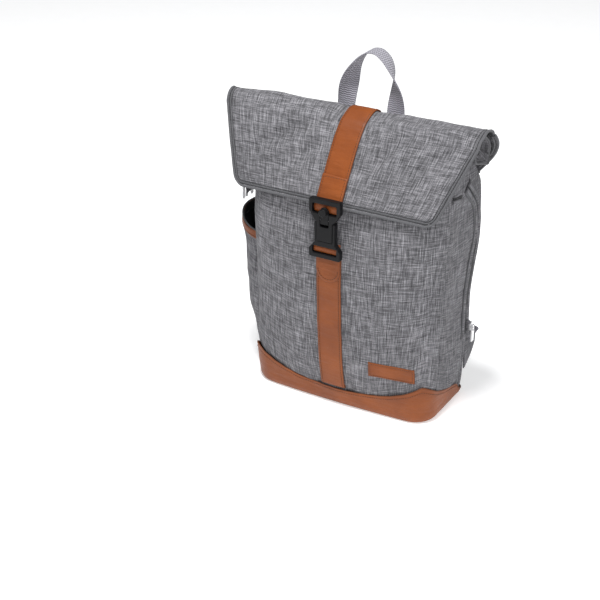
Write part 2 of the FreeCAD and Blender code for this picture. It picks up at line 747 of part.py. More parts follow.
def lock_loop():
    """Webbing loop from the pad's end that holds the ladder lock by its upper bar."""
    return box(LOCK_X - 12.5, LOCK_X + 12.5, 92.0, 93.8, LOCK_Z - 1, 131)


def webbing_tail():
    """Free end of the adjusting webbing."""
    return box(LOCK_X - 10, LOCK_X + 10, 101.0, 101.0 + WEBBING_THICK, 62, LOCK_Z - 2)


# ---------------------------------------------------------------- all nodes
def build_nodes():
    nodes = dict(body_panels())
    pouch, trim = bottle_pocket_parts()
    nodes.update({
        "lining": lining(), "base_board": base_board(), "tablet_sleeve": tablet_sleeve(),
        "inner_pockets": inner_pockets(), "pocket_elastic": pocket_elastic(),
        "label_patch": label_patch(), "bottle_pocket": pouch, "bottle_pocket_trim": trim,
        "slit_pocket_welt": pocket_welt(),
        "lower_strap": lower_strap(), "lower_strap_tab": lower_strap_tab(),
        "buckle_socket": buckle_socket(), "socket_magnet": socket_magnet(),
        "buckle_plug": buckle_plug(), "plug_magnet": plug_magnet(), "lever_pin": lever_pin(),
        "release_lever": release_lever(),
        "fold_panel": back_extension(ROLL_RADIUS, ROLL_RADIUS - FLAP_OUTER),
        "fold_roll": roll_shell(ROLL_RADIUS, ROLL_RADIUS - FLAP_OUTER, ROLL_HALF,
                                BACK_ANGLE, FRONT_ANGLE),
        "fold_lining": roll_shell(ROLL_RADIUS - FLAP_OUTER - 0.1,
                                  ROLL_RADIUS - FLAP_OUTER - 0.1 - FLAP_LINING,
                                  ROLL_HALF - 2, BACK_ANGLE, FRONT_ANGLE),
        "roll_strap": roll_strap(),
        "flap_panel": flap_sheet(ROLL_RADIUS, ROLL_RADIUS - FLAP_OUTER, 2 * PIPING_RADIUS + 0.1),
        "flap_lining": flap_sheet(ROLL_RADIUS - FLAP_OUTER - 0.1,
                                  ROLL_RADIUS - FLAP_OUTER - 0.1 - FLAP_LINING,
                                  2 * PIPING_RADIUS + 0.1),
        "flap_piping": flap_piping(),
        "upper_strap": upper_strap(), "upper_strap_tab": upper_strap_tab(),
        "carry_handle": carry_handle(),
        "side_zip_tape": side_zip_tape(), "side_zip_lip_front": side_zip_lip(1),
        "side_zip_lip_back": side_zip_lip(-1), "side_slider": side_slider(),
        "side_pull": side_pull(), "main_zip_end": zip_end(),
        "mouth_tape_front": mouth_tape(True), "mouth_tape_back": mouth_tape(False),
        "strap_yoke": strap_yoke(),
    })
    for letter, y in MAIN_SLIDERS:
        nodes["main_slider_" + letter] = main_slider(y)
        nodes["main_pull_" + letter] = main_pull(y)
    sides = {
        "back_pad": back_pad(), "strap_pad": strap_pad(), "strap_wing": strap_wing(),
        "ladder_lock": ladder_lock(), "webbing_tail": webbing_tail(),
    }
    for name, shape in sides.items():
        nodes[name + "_right"] = shape
        nodes[name + "_left"] = mirrored(shape)
    groups = {
        "handle_anchors": handle_anchor(), "strap_roots": pad_root(),
        "strap_webbings": lower_webbing(), "lock_loops": lock_loop(),
    }
    for name, shape in groups.items():
        nodes[name] = Part.makeCompound([shape, mirrored(shape)])
    return nodes


def main():
    os.makedirs("parts", exist_ok=True)
    for name, shape in build_nodes().items():
        solids = shape.Solids
        kept = Part.makeCompound(solids) if len(solids) != 1 else solids[0]
        kept.exportStep("parts/" + name + ".step")
        limits = kept.BoundBox
        print("%-22s %d solids  volume %9.1f  x %.1f %.1f  y %.1f %.1f  z %.1f %.1f  valid %s" % (
            name, len(solids), kept.Volume, limits.XMin, limits.XMax, limits.YMin, limits.YMax,
            limits.ZMin, limits.ZMax, kept.isValid()))


main()
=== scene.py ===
import math
import bmesh
import bpy
import numpy as np
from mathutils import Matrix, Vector, noise
from mathutils.bvhtree import BVHTree


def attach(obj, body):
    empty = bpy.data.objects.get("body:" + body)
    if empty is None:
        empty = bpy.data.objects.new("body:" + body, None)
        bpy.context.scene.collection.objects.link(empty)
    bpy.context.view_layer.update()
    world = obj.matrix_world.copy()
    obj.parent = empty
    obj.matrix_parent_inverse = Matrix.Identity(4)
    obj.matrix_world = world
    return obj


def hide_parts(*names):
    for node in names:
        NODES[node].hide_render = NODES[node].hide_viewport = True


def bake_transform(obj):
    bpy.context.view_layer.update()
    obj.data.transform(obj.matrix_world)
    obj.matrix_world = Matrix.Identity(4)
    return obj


# Looks for a fold-over backpack for baby care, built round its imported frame.
# Tables and helpers work in millimetres; meshes are scaled to metres when they are made.
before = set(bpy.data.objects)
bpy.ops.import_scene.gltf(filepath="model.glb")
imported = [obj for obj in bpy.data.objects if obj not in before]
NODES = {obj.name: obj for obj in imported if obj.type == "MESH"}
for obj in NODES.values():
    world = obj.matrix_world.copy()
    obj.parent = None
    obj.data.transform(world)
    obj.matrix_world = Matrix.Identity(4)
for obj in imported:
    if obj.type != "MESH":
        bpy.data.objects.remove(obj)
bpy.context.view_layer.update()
MM = 0.001

# ---------------------------------------------------------------- sizes shared with the frame
BODY_ROWS = np.array((
    # height, half width, front, back, front corner radius, bow of the front
    (12, 136, -62, 60, 32, 4), (70, 139, -74, 61, 34, 8), (130, 141, -80, 62, 34, 10),
    (200, 144, -82, 62, 34, 11), (260, 147, -81, 62, 34, 11), (300, 148, -76, 62, 34, 9),
    (318, 148, -70, 60, 32, 8), (331, 148, -62, 51, 28, 6), (345, 148, -55, 41, 24, 4),
    (365, 148, -46, 27, 18, 2)), float)
FOOT_ROW = np.array((0, 128, -54, 54, 26, 2), float)
BACK_CORNER = 14.0
FRONT_SEAM_Y, BACK_SEAM_Y = -34.0, 44.0
COLLAR_LOW, MOUTH_Z = 318.0, 365.0
SMILE_FRONT = np.array(((0, 29), (55, 32), (97, 44), (130, 62), (175, 90)), float)
SMILE_SIDE = np.array(((-105, 78), (-60, 62), (-30, 46), (0, 35), (33, 25), (48, 12), (105, 11)),
                      float)
ROLL = np.array((-15.0, 384.0))
ROLL_RADIUS = 28.0
ROLL_HALF, FLAP_LOW_HALF = 178.0, 150.0
FLAP_LOW = np.array((-85.0, 303.0))
FLAP_BOW, FLAP_CORNER = 18.0, 13.0
CREASE = np.array((60.0, 329.0))
STRAP_WIDTH = 36.0
STRAP_LEAN = 5.5        # how far the strap leans to the right on its way up the flap
CORNER_TUCK = 13.5      # how far the full pocket draws the left front corner in
END_PINCH = 0.5         # share of its depth that the roll loses at its left end
RIGHT_DRAW = 0.095      # share of its width that the flap loses at its lower right
ZIP_MIDDLE = ((4, 328), (20, 312), (33, 296), (43, 262), (46, 225), (45, 160), (43, 96))


def tangent_angle(point, turn):
    run = point - ROLL
    return math.atan2(run[1], run[0]) + turn * math.acos(ROLL_RADIUS / np.hypot(*run))


FRONT_ANGLE = tangent_angle(FLAP_LOW, -1) + 2 * math.pi
BACK_ANGLE = tangent_angle(CREASE, 1)
ARC = (FRONT_ANGLE - BACK_ANGLE) * ROLL_RADIUS


# ---------------------------------------------------------------- numbers and curves
def spline(points, count):
    """Smooth line through points, with evenly spaced samples."""
    p = np.array(points, float)
    p = np.vstack([2 * p[0] - p[1], p, 2 * p[-1] - p[-2]])
    out = []
    for i in range(1, len(p) - 2):
        for t in np.linspace(0, 1, 24, endpoint=False):
            out.append(0.5 * (2 * p[i] + (p[i + 1] - p[i - 1]) * t
                              + (2 * p[i - 1] - 5 * p[i] + 4 * p[i + 1] - p[i + 2]) * t ** 2
                              + (3 * p[i] - p[i - 1] - 3 * p[i + 1] + p[i + 2]) * t ** 3))
    return resample(np.vstack([out, p[-2]]), count)


def lengths(path):
    return np.concatenate([[0], np.cumsum(np.linalg.norm(np.diff(path, axis=0), axis=1))])


def directions(path):
    """Unit vectors along a path."""
    along = np.gradient(path, axis=0)
    return along / np.linalg.norm(along, axis=1, keepdims=True)


def resample(path, count):
    path = np.array(path, float)
    s = lengths(path)
    return np.column_stack([np.interp(np.linspace(0, s[-1], count), s, path[:, k])
                            for k in range(path.shape[1])])


def smooth(value, low, high):
    t = np.clip((np.asarray(value, float) - low) / (high - low), 0, 1)
    return t * t * (3 - 2 * t)


def swell(points, size, depth, seed):
    """Soft random relief, the same at the same place for every piece."""
    flat = np.asarray(points, float).reshape(-1, 3)
    step = Vector((seed, 1.7 * seed, 2.3 * seed))
    values = [noise.noise(Vector(p) / size + step) for p in flat]
    return depth * np.array(values).reshape(np.shape(points)[:-1])


def normals_of(grid):
    du = np.gradient(grid, axis=1)
    dv = np.gradient(grid, axis=0)
    n = np.cross(du, dv)
    return n / np.maximum(np.linalg.norm(n, axis=2, keepdims=True), 1e-9)


def finish_object(name, mesh, material):
    obj = bpy.data.objects.new(name, mesh)
    bpy.context.scene.collection.objects.link(obj)
    layers = material if isinstance(material, list) else [material]
    for layer in layers:
        mesh.materials.append(layer)
    mesh.polygons.foreach_set("use_smooth", [True] * len(mesh.polygons))
    return obj


def add_float(mesh, name, values):
    layer = mesh.attributes.new(name, "FLOAT", "POINT")
    layer.data.foreach_set("value", np.asarray(values, np.float32).ravel())


def grid_object(name, grid, material, closed=False, capped=False, edge=None):
    """Quad mesh from rows and columns of points, with a UV map in metres."""
    grid = np.asarray(grid, float)
    rows, cols = grid.shape[:2]
    ring = np.concatenate([grid, grid[:, :1]], axis=1) if closed else grid
    across = lengths_mean(ring, 1)
    along = lengths_mean(grid, 0)
    faces, corners = [], []
    for r in range(rows - 1):
        for c in range(cols if closed else cols - 1):
            d = (c + 1) % cols
            faces.append((r * cols + c, r * cols + d, (r + 1) * cols + d, (r + 1) * cols + c))
            corners += [(across[c], along[r]), (across[c + 1], along[r]),
                        (across[c + 1], along[r + 1]), (across[c], along[r + 1])]
    if capped:
        for first, order in ((0, 1), ((rows - 1) * cols, -1)):
            faces.append(tuple(range(first, first + cols))[::order])
            corners += [(across[c], along[0] if first == 0 else along[-1])
                        for c in range(cols)][::order]
    mesh = bpy.data.meshes.new(name)
    mesh.from_pydata((grid.reshape(-1, 3) * MM).tolist(), [], faces)
    layer = mesh.uv_layers.new(name="weave")
    layer.data.foreach_set("uv", (np.array(corners) * MM).astype(np.float32).ravel())
    if edge is None:
        u, v = across[:cols], along
        edge = np.minimum(np.minimum(u, u[-1] - u)[None, :], np.minimum(v, v[-1] - v)[:, None])
    add_float(mesh, "edge", edge)
    if capped:
        face_outward(mesh)
    return finish_object(name, mesh, material)


def lengths_mean(grid, axis):
    steps = np.linalg.norm(np.diff(grid, axis=axis), axis=2).mean(axis=1 - axis)
    return np.concatenate([[0], np.cumsum(steps)])


def face_outward(mesh):
    work = bmesh.new()
    work.from_mesh(mesh)
    bmesh.ops.recalc_face_normals(work, faces=work.faces)
    work.to_mesh(mesh)
    work.free()


def thicken(obj, thick, inner=False):
    """Gives a cloth sheet its thickness, inwards."""
    solid = obj.modifiers.new("Thickness", "SOLIDIFY")
    solid.thickness = thick * MM
    solid.offset = -1
    solid.use_quality_normals = True
    if inner:
        solid.material_offset = 1
    return obj


def subdivide(obj, levels=1):
    sub = obj.modifiers.new("Soft", "SUBSURF")
    sub.levels = levels
    sub.render_levels = levels
    return obj


def sweep(name, path, across, section, material, edge=None, scale=1.0):
    """Closed bar along a path. The section's pairs go across the path and out from it."""
    path = np.asarray(path, float)
    across = np.broadcast_to(np.asarray(across, float), path.shape)
    along = directions(path)
    side = across - along * (across * along).sum(1, keepdims=True)
    side /= np.linalg.norm(side, axis=1, keepdims=True)
    out = np.cross(side, along)
    section = np.asarray(section, float)
    scale = np.broadcast_to(scale, len(path))[:, None, None]
    grid = (path[:, None] + side[:, None] * section[None, :, :1] * scale
            + out[:, None] * section[None, :, 1:])
    if edge is None:
        edge = np.full(grid.shape[:2], 9.0)
    else:
        edge = np.broadcast_to(edge, grid.shape[:2])
    return grid_object(name, grid, material, closed=True, capped=True, edge=edge)


def flat_section(width, thick, crown=0.0):
    """Rounded rectangle, standing on the path, with a slightly crowned face."""
    half, soft = width / 2, thick * 0.3
    top = [(a, thick + crown * (1 - (a / half) ** 2))
           for a in np.linspace(-half + soft, half - soft, 11)]
    low = [(a, 0.0) for a in np.linspace(half - soft, -half + soft, 7)]
    return [(-half, soft), (-half, thick - soft)] + top + [(half, thick - soft), (half, soft)] + low


def ribbon(name, path, across, width, thick, material, crown=0.0):
    """Flat strap whose back lies on the path."""
    section = flat_section(width, thick, crown)
    edge = [width / 2 - abs(a) for a, _ in section]
    return sweep(name, path, across, section, material, edge)


def round_section(radius, count=10):
    turns = np.linspace(0, 2 * math.pi, count, endpoint=False)
    return [(radius * math.cos(t), radius * math.sin(t)) for t in turns]


def tube(name, path, radius, material):
    """Round cord; its first side direction is carried along the path."""
    path = np.asarray(path, float)
    along = directions(path)
    side = np.cross(along[0], (0.3, 0.5, 0.8))
    sides = []
    for step in along:
        side = side - step * side.dot(step)
        side /= np.linalg.norm(side)
        sides.append(side)
    return sweep(name, path, np.array(sides), round_section(radius), material)


def joined(name, objects):
    """One piece from several."""
    bpy.ops.object.select_all(action="DESELECT")
    for obj in objects:
        obj.select_set(True)
    bpy.context.view_layer.objects.active = objects[0]
    bpy.ops.object.join()
    objects[0].name = name
    objects[0].data.name = name
    return objects[0]


def stitches(name, lines, material, pitch=3.4, radius=0.42):
    """Sewing thread: short rounded stitches along lines of (path, out direction)."""
    ring = [(math.cos(t), math.sin(t)) for t in np.linspace(0, 2 * math.pi, 6, endpoint=False)]
    stations = ((-0.5, 0.25, -0.4), (-0.3, 0.9, 0.1), (0.0, 1.0, 0.3), (0.3, 0.9, 0.1),
                (0.5, 0.25, -0.4))
    verts, faces = [], []
    for path, out in lines:
        count = max(int(lengths(path)[-1] / pitch), 1)
        fine = resample(path, 2 * count + 1)
        outs = resample(np.broadcast_to(np.asarray(out, float), np.shape(path)), 2 * count + 1)
        for k in range(count):
            mid, run = fine[2 * k + 1], fine[2 * k + 2] - fine[2 * k]
            run = run / np.linalg.norm(run)
            up = outs[2 * k + 1] - run * outs[2 * k + 1].dot(run)
            up /= np.linalg.norm(up)
            side = np.cross(run, up)
            base = len(verts)
            for share, wide, lift in stations:
                centre = mid + run * share * pitch * 0.84 + up * lift * radius
                verts += [centre + radius * wide * (side * a + up * b) for a, b in ring]
            for s in range(4):
                for i in range(6):
                    j = (i + 1) % 6
                    faces.append((base + 6 * s + i, base + 6 * s + j,
                                  base + 6 * s + 6 + j, base + 6 * s + 6 + i))
            faces.append(tuple(base + i for i in range(6))[::-1])
            faces.append(tuple(base + 24 + i for i in range(6)))
    mesh = bpy.data.meshes.new(name)
    mesh.from_pydata((np.array(verts) * MM).tolist(), [], faces)
    face_outward(mesh)
    return finish_object(name, mesh, material)


# ---------------------------------------------------------------- materials
class Look:
    """A material with its node tree, and short ways to add nodes."""

    def __init__(self, name, roughness=0.8, specular=0.5):
        self.material = bpy.data.materials.new(name)
        self.material.use_nodes = True
        self.tree = self.material.node_tree
        self.shader = self.tree.nodes["Principled BSDF"]
        self.shader.inputs["Roughness"].default_value = roughness
        self.shader.inputs["Specular IOR Level"].default_value = specular

    def add(self, kind, settings=(), **inputs):
        node = self.tree.nodes.new("ShaderNode" + kind)
        for key, value in dict(settings).items():
            setattr(node, key, value)
        for key, value in inputs.items():
            target = node.inputs[int(key[1:])] if key[0] == "i" and key[1:].isdigit() \
                else node.inputs[key]
            self.put(target, value)
        return node

    def put(self, socket, value):
        if hasattr(value, "is_output"):
            self.tree.links.new(value, socket)
        else:
            socket.default_value = value

    def math(self, operation, first, second=0.0, clamp=False):
        node = self.add("Math", {"operation": operation, "use_clamp": clamp}, i0=first, i1=second)
        return node.outputs[0]

    def plus(self, first, second, share):
        """The first value, with a share of the second added."""
        return self.math("ADD", first, self.math("MULTIPLY", second, share))

    def weave(self):
        return self.add("UVMap", {"uv_map": "weave"}).outputs[0]

    def place(self):
        return self.add("TexCoord").outputs["Object"]

    def scaled(self, vector, scale):
        return self.add("Mapping", Vector=vector, Scale=scale).outputs[0]

    def noise(self, vector, scale, detail=2.0, rough=0.5):
        node = self.add("TexNoise", Vector=vector, Scale=scale, Detail=detail, Roughness=rough)
        return node.outputs[0]

    def range(self, value, low, high, to_low=0.0, to_high=1.0):
        node = self.add("MapRange", Value=value)
        node.inputs[1].default_value, node.inputs[2].default_value = low, high
        node.inputs[3].default_value, node.inputs[4].default_value = to_low, to_high
        return node.outputs[0]

    def mix(self, share, first, second, blend="MIX"):
        node = self.add("Mix", {"data_type": "RGBA", "blend_type": blend})
        self.put(node.inputs[0], share)
        self.put(node.inputs[6], first)
        self.put(node.inputs[7], second)
        return node.outputs[2]

    def wave(self, value, pitch, phase=0.0):
        """Sine from 0 to 1 along a length in metres."""
        turned = self.math("MULTIPLY_ADD", value, 2 * math.pi / pitch)
        turned.node.inputs[2].default_value = phase
        return self.range(self.math("SINE", turned), -1, 1)

    def edge(self, reach):
        """1 at a border, 0 from a reach in millimetres."""
        value = self.add("Attribute", {"attribute_name": "edge"}).outputs["Fac"]
        return self.range(value, 0.0, reach, 1.0, 0.0)

    def bump(self, height, distance, strength=1.0, before=None):
        node = self.add("Bump", Height=height, Distance=distance, Strength=strength)
        if before is not None:
            self.put(node.inputs["Normal"], before)
        return node.outputs[0]

    def done(self, colour=None, rough=None, normal=None):
        if colour is not None:
            self.put(self.shader.inputs["Base Color"], colour)
        if rough is not None:
            self.put(self.shader.inputs["Roughness"], rough)
        if normal is not None:
            self.put(self.shader.inputs["Normal"], normal)
        return self.material


def tint(colour, level):
    return tuple(level * part for part in colour) + (1,)


def grey(value, warm=0.0):
    return (value * (1 + warm), value, value * (1.085 - warm), 1)


YARN_JUMP, YARN_STEP = 5.618, 0.377   # noise cells between one yarn and the next


def yarns(look, across, along, count, change):
    """One set of yarns: each changes tone along its length, out of step with its neighbours."""
    number = look.math("FLOOR", look.math("MULTIPLY", across, count), 0.0)
    far = look.plus(look.math("MULTIPLY", along, change), number, YARN_STEP)
    place = look.add("CombineXYZ", X=look.math("MULTIPLY", number, YARN_JUMP), Y=far)
    return look.noise(place.outputs[0], 1.0, 1.0, 0.5)


def melange(name, level=1.0):
    """Heathered canvas: light and dark yarns crossing, each changing along its length."""
    look = Look(name, 0.86, 0.12)
    uv = look.weave()
    split = look.add("SeparateXYZ", Vector=uv)
    warp = yarns(look, split.outputs[0], split.outputs[1], 1400, 48)
    weft = yarns(look, split.outputs[1], split.outputs[0], 1320, 44)
    slub = look.noise(look.scaled(uv, (1300, 500, 1)), 1.0, 2.0)
    over = look.wave(split.outputs[0], 0.0016)
    under = look.wave(split.outputs[1], 0.0016)
    cross = look.math("MULTIPLY", over, under)
    yarn = look.plus(look.math("MULTIPLY", warp, 0.5), weft, 0.42)
    yarn = look.plus(yarn, slub, 0.18)
    tone = look.range(yarn, 0.39, 0.73)
    cloud = look.noise(look.place(), 14.0, 3.0)
    tone = look.math("ADD", tone, look.range(cloud, 0.3, 0.7, -0.04, 0.04), True)
    ramp = look.add("ValToRGB", Fac=tone)
    stops = ramp.color_ramp.elements
    stops[0].position, stops[0].color = 0.0, grey(0.036 * level, 0.015)
    stops[1].position, stops[1].color = 1.0, grey(0.32 * level, 0.02)
    middle = stops.new(0.45)
    middle.color = grey(0.112 * level, 0.015)
    look.shader.inputs["Sheen Weight"].default_value = 0.05
    look.shader.inputs["Sheen Roughness"].default_value = 0.5
    height = look.plus(cross, yarn, 1.3)
    rough = look.range(yarn, 0.3, 0.8, 0.9, 0.76)
    return look.done(ramp.outputs[0], rough, look.bump(height, 0.0005, 0.55))


def leather(name, level=1.0):
    """Smooth tan imitation leather with pores, soft clouds and darker edges."""
    look = Look(name, 0.5, 0.28)
    place = look.place()
    cloud = look.noise(place, 22.0, 4.0)
    pores = look.add("TexVoronoi", {"feature": "F1"}, Vector=place, Scale=950.0).outputs[0]
    grain = look.noise(place, 700.0, 3.0)
    base = look.mix(look.range(cloud, 0.3, 0.7), (0.158 * level, 0.0365 * level, 0.0052 * level, 1),
                    (0.238 * level, 0.060 * level, 0.0095 * level, 1))
    base = look.mix(look.range(grain, 0.55, 0.75, 0.0, 0.25), base,
                    (0.105 * level, 0.029 * level, 0.009 * level, 1))
    worn = look.math("MULTIPLY", look.edge(1.6), 0.6)
    base = look.mix(worn, base, (0.075 * level, 0.026 * level, 0.010 * level, 1))
    height = look.math("ADD", look.math("MULTIPLY", pores, 0.6), grain)
    normal = look.bump(height, 0.00022, 0.6)
    folds = look.noise(look.scaled(place, (34, 34, 150)), 1.0, 3.0)
    normal = look.bump(folds, 0.0022, 0.55, normal)
    look.shader.inputs["Coat Weight"].default_value = 0.04
    look.shader.inputs["Coat Roughness"].default_value = 0.4
    return look.done(base, look.range(grain, 0.3, 0.7, 0.42, 0.6), normal)


def plain_weave(name, colour, pitch, light=1.5, rough=0.85, sheen=0.1):
    """Fine cloth of one colour, with its threads and a little wear."""
    look = Look(name, rough, 0.25)
    uv = look.weave()
    split = look.add("SeparateXYZ", Vector=uv)
    over = look.wave(split.outputs[0], pitch)
    under = look.wave(split.outputs[1], pitch)
    cross = look.math("MULTIPLY", over, under)
    fuzz = look.noise(look.scaled(uv, (500, 500, 1)), 1.0, 3.0)
    tone = look.plus(look.math("MULTIPLY", cross, 0.5), fuzz, 0.7)
    base = look.mix(look.range(tone, 0.2, 1.0), tint(colour, 0.65),
                    tint(colour, light))
    look.shader.inputs["Sheen Weight"].default_value = sheen
    return look.done(base, look.range(fuzz, 0.3, 0.7, rough - 0.08, rough + 0.06),
                     look.bump(tone, pitch * 0.4, 0.5))


def webbing(name, colour, rib=0.0016):
    """Woven tape: cross ribs broken into columns, with a bound edge."""
    look = Look(name, 0.7, 0.35)
    uv = look.weave()
    split = look.add("SeparateXYZ", Vector=uv)
    column = look.wave(split.outputs[0], 0.0062)
    shifted = look.plus(split.outputs[1], column, rib * 0.35)
    ribs = look.wave(shifted, rib)
    threads = look.wave(split.outputs[0], 0.0009)
    fuzz = look.noise(look.scaled(uv, (300, 900, 1)), 1.0, 2.0)
    tone = look.plus(look.math("MULTIPLY", ribs, 0.6), fuzz, 0.5)
    base = look.mix(look.range(tone, 0.15, 0.95), tint(colour, 0.38),
                    tint(colour, 1.55))
    base = look.mix(look.math("MULTIPLY", look.edge(1.4), 0.35), base,
                    tint(colour, 0.7))
    height = look.plus(ribs, threads, 0.35)
    look.shader.inputs["Sheen Weight"].default_value = 0.15
    return look.done(base, look.range(fuzz, 0.3, 0.7, 0.62, 0.78), look.bump(height, 0.0006, 0.8))


def moulded(name):
    """Black nylon with a spark-eroded finish and lighter rubbed spots."""
    look = Look(name, 0.5, 0.16)
    place = look.place()
    fine = look.noise(place, 1400.0, 2.0)
    rub = look.noise(place, 90.0, 4.0)
    base = look.mix(look.range(rub, 0.45, 0.8, 0.0, 0.5), (0.0045, 0.0045, 0.0052, 1),
                    (0.010, 0.010, 0.0115, 1))
    return look.done(base, look.range(rub, 0.3, 0.7, 0.34, 0.5), look.bump(fine, 0.00012, 0.5))


def metal(name, colour, low, high):
    """Plated metal with fine drawn lines and slight clouding."""
    look = Look(name, 0.25, 0.5)
    place = look.place()
    lines = look.noise(look.scaled(place, (900, 900, 60)), 1.0, 2.0)
    cloud = look.noise(place, 160.0, 3.0)
    look.shader.inputs["Metallic"].default_value = 1.0
    base = look.mix(look.range(cloud, 0.3, 0.7), tint(colour, 0.86),
                    tuple(colour) + (1,))
    return look.done(base, look.range(lines, 0.3, 0.7, low, high), look.bump(lines, 0.00008, 0.4))


def zip_coil(name):
    """Black zip tape with the coil's teeth down its middle."""
    look = Look(name, 0.7, 0.4)
    uv = look.weave()
    split = look.add("SeparateXYZ", Vector=uv)
    teeth = look.wave(split.outputs[1], 0.0016)
    fuzz = look.noise(look.scaled(uv, (900, 900, 1)), 1.0, 2.0)
    base = look.mix(look.range(teeth, 0.2, 0.9), (0.010, 0.010, 0.011, 1), (0.045, 0.045, 0.05, 1))
    height = look.plus(teeth, fuzz, 0.4)
    return look.done(base, look.range(fuzz, 0.3, 0.7, 0.6, 0.75), look.bump(height, 0.0006, 0.8))


def air_mesh(name):
    """Spacer mesh of the padded parts: rows of small round holes."""
    look = Look(name, 0.85, 0.2)
    place = look.scaled(look.place(), (1, 0.25, 1))
    cells = look.add("TexVoronoi", {"feature": "F1"}, Vector=place, Scale=330.0, Randomness=0.25)
    fuzz = look.noise(place, 900.0, 2.0)
    hole = look.range(cells.outputs[0], 0.15, 0.42)
    base = look.mix(hole, (0.022, 0.022, 0.025, 1), (0.115, 0.115, 0.125, 1))
    height = look.plus(hole, fuzz, 0.3)
    look.shader.inputs["Sheen Weight"].default_value = 0.2
    return look.done(base, look.range(fuzz, 0.3, 0.7, 0.8, 0.92), look.bump(height, 0.0007, 0.7))


def board(name):
    look = Look(name, 0.6, 0.4)
    speck = look.noise(look.place(), 500.0, 3.0)
    base = look.mix(look.range(speck, 0.35, 0.7), (0.07, 0.07, 0.072, 1), (0.12, 0.12, 0.124, 1))
    return look.done(base, look.range(speck, 0.3, 0.7, 0.5, 0.7), look.bump(speck, 0.0003, 0.4))


CLOTH = melange("MelangeCloth")
LEATHER = leather("TanLeather")
PATCH = leather("PatchLeather", 0.98)
LINING = plain_weave("BlackLining", (0.012, 0.012, 0.0135), 0.0009)
PIPING = plain_weave("PipingCloth", (0.098, 0.098, 0.104), 0.0008, 1.5)
BINDING = plain_weave("EdgeBinding", (0.10, 0.10, 0.106), 0.0008, 1.4)
# Painted shade: thin dark tubes of this cloth stand for the shade in the grooves beside the piping.
SEAM_SHADOW = plain_weave("SeamShadow", (0.032, 0.032, 0.035), 0.0008, 1.5)
WEBBING = webbing("GreyWebbing", (0.27, 0.262, 0.298), 0.0028)
ELASTIC = webbing("BlackElastic", (0.03, 0.03, 0.033), 0.0022)
PLASTIC = moulded("BlackNylon")
ZIP = zip_coil("ZipTape")
SILVER = metal("PlatedZinc", (0.93, 0.93, 0.94), 0.34, 0.48)
STEEL = metal("PlainSteel", (0.5, 0.5, 0.51), 0.3, 0.5)
MESH = air_mesh("AirMesh")
BOARD = board("BaseBoard")
TAN_THREAD = plain_weave("TanThread", (0.10, 0.032, 0.010), 0.0005, 1.5, 0.6)
GREY_THREAD = plain_weave("GreyThread", (0.13, 0.13, 0.14), 0.0005, 1.5, 0.7)


# ---------------------------------------------------------------- body surface
def body_row(z):
    """The body's sizes at a height: smooth between the rows, rounded at the foot."""
    heights = BODY_ROWS[:, 0]
    near = [[np.interp(z + d, heights, BODY_ROWS[:, k]) for k in range(1, 6)]
            for d in (-8, -4, 0, 4, 8)]
    row = np.mean(near, axis=0)
    if z < 12:
        rise = math.sqrt(max(1 - (1 - z / 12) ** 2, 0))
        row = FOOT_ROW[1:] + (row - FOOT_ROW[1:]) * rise
    return row


def tucked(points):
    """The full pocket draws the left front corner in, most of all beside its mouth."""
    points = np.array(points, float)
    x, y, z = points[..., 0], points[..., 1], points[..., 2]
    share = smooth(-x, 92, 138) * smooth(-y, -18, 44) * smooth(z, 30, 190)
    points[..., 0] = x + CORNER_TUCK * share
    return points


def half_outline(z, inset=0.0):
    """Right half of the outline at a height, from the middle of the front to the back."""
    half, front, back, corner, bow = body_row(z)
    half, front, back = half - inset, front + inset, back - inset
    corner, rear = corner - inset, BACK_CORNER - inset
    right, right_back = half - corner, half - rear
    turn = np.linspace(0, math.pi / 2, 12)
    xs = np.linspace(0, right, 24)
    parts = [np.column_stack([xs, front + bow * (xs / right) ** 2]),
             np.column_stack([right + corner * np.sin(turn),
                              front + bow + corner - corner * np.cos(turn)])[1:],
             np.column_stack([right_back + rear * np.cos(turn),
                              back - rear + rear * np.sin(turn)]),
             np.array([[0.0, back]])]
    return np.vstack(parts)


def outline_part(z, part, count, inset=0.0):
    """Points of one panel along the outline at a height, so that cloth faces outwards."""
    line = half_outline(z, inset)
    s = lengths(line)
    rising = line[:, 1] + np.arange(len(line)) * 1e-6
    front = np.interp(FRONT_SEAM_Y, rising, s)
    back = np.interp(BACK_SEAM_Y, rising, s)
    ranges = {"front": (-front, front), "right": (front, back), "left": (-back, -front),
              "back": (back, 2 * s[-1] - back), "round": (-s[-1], s[-1])}
    t = np.linspace(*ranges[part], count)
    t = np.where(t > s[-1], t - 2 * s[-1], t)
    return tucked(np.column_stack([np.sign(t) * np.interp(abs(t), s, line[:, 0]),
                                   np.interp(abs(t), s, line[:, 1]), np.full(count, z)]))


def smile_height(x, y):
    """Upper edge of the leather base."""
    front = np.interp(abs(x), *spline(SMILE_FRONT, 60).T)
    return np.minimum(front, np.interp(y, *spline(SMILE_SIDE, 80).T))


def relief(points):
    """How far the body's cloth stands out from its smooth shape."""
    points = np.asarray(points, float)
    x, y, z = points[..., 0], points[..., 1], points[..., 2]
    soft = (swell(points * (1, 1, 0.6), 62, 3.4, 1.3) + swell(points * (1.3, 1, 0.7), 27, 1.3, 4.1)
            + swell(points, 12, 0.3, 7.7))
    front = y < FRONT_SEAM_Y - 12
    calm = np.where(front, 0.25 + 0.75 * smooth(abs(x), 16, 48), 1.0)
    seam = np.exp(-((abs(y - FRONT_SEAM_Y) / 2.6) ** 2)) * (abs(x) > 100)
    seam = seam + np.exp(-((abs(y - BACK_SEAM_Y) / 2.6) ** 2)) * (abs(x) > 100)
    above = z - smile_height(x, y)
    pucker = 0.55 * np.sin(x / 2.3 + y / 2.6) * np.exp(-np.maximum(above, 0) / 11)
    beside = np.where(front, 1.5 * np.exp(-((abs(x) - 24) / 5.0) ** 2), 0.0)
    return (soft * calm - 1.3 * seam + pucker * smooth(above, 0, 4) - beside
            - 1.2 * np.exp(-((above / 3.0) ** 2)))


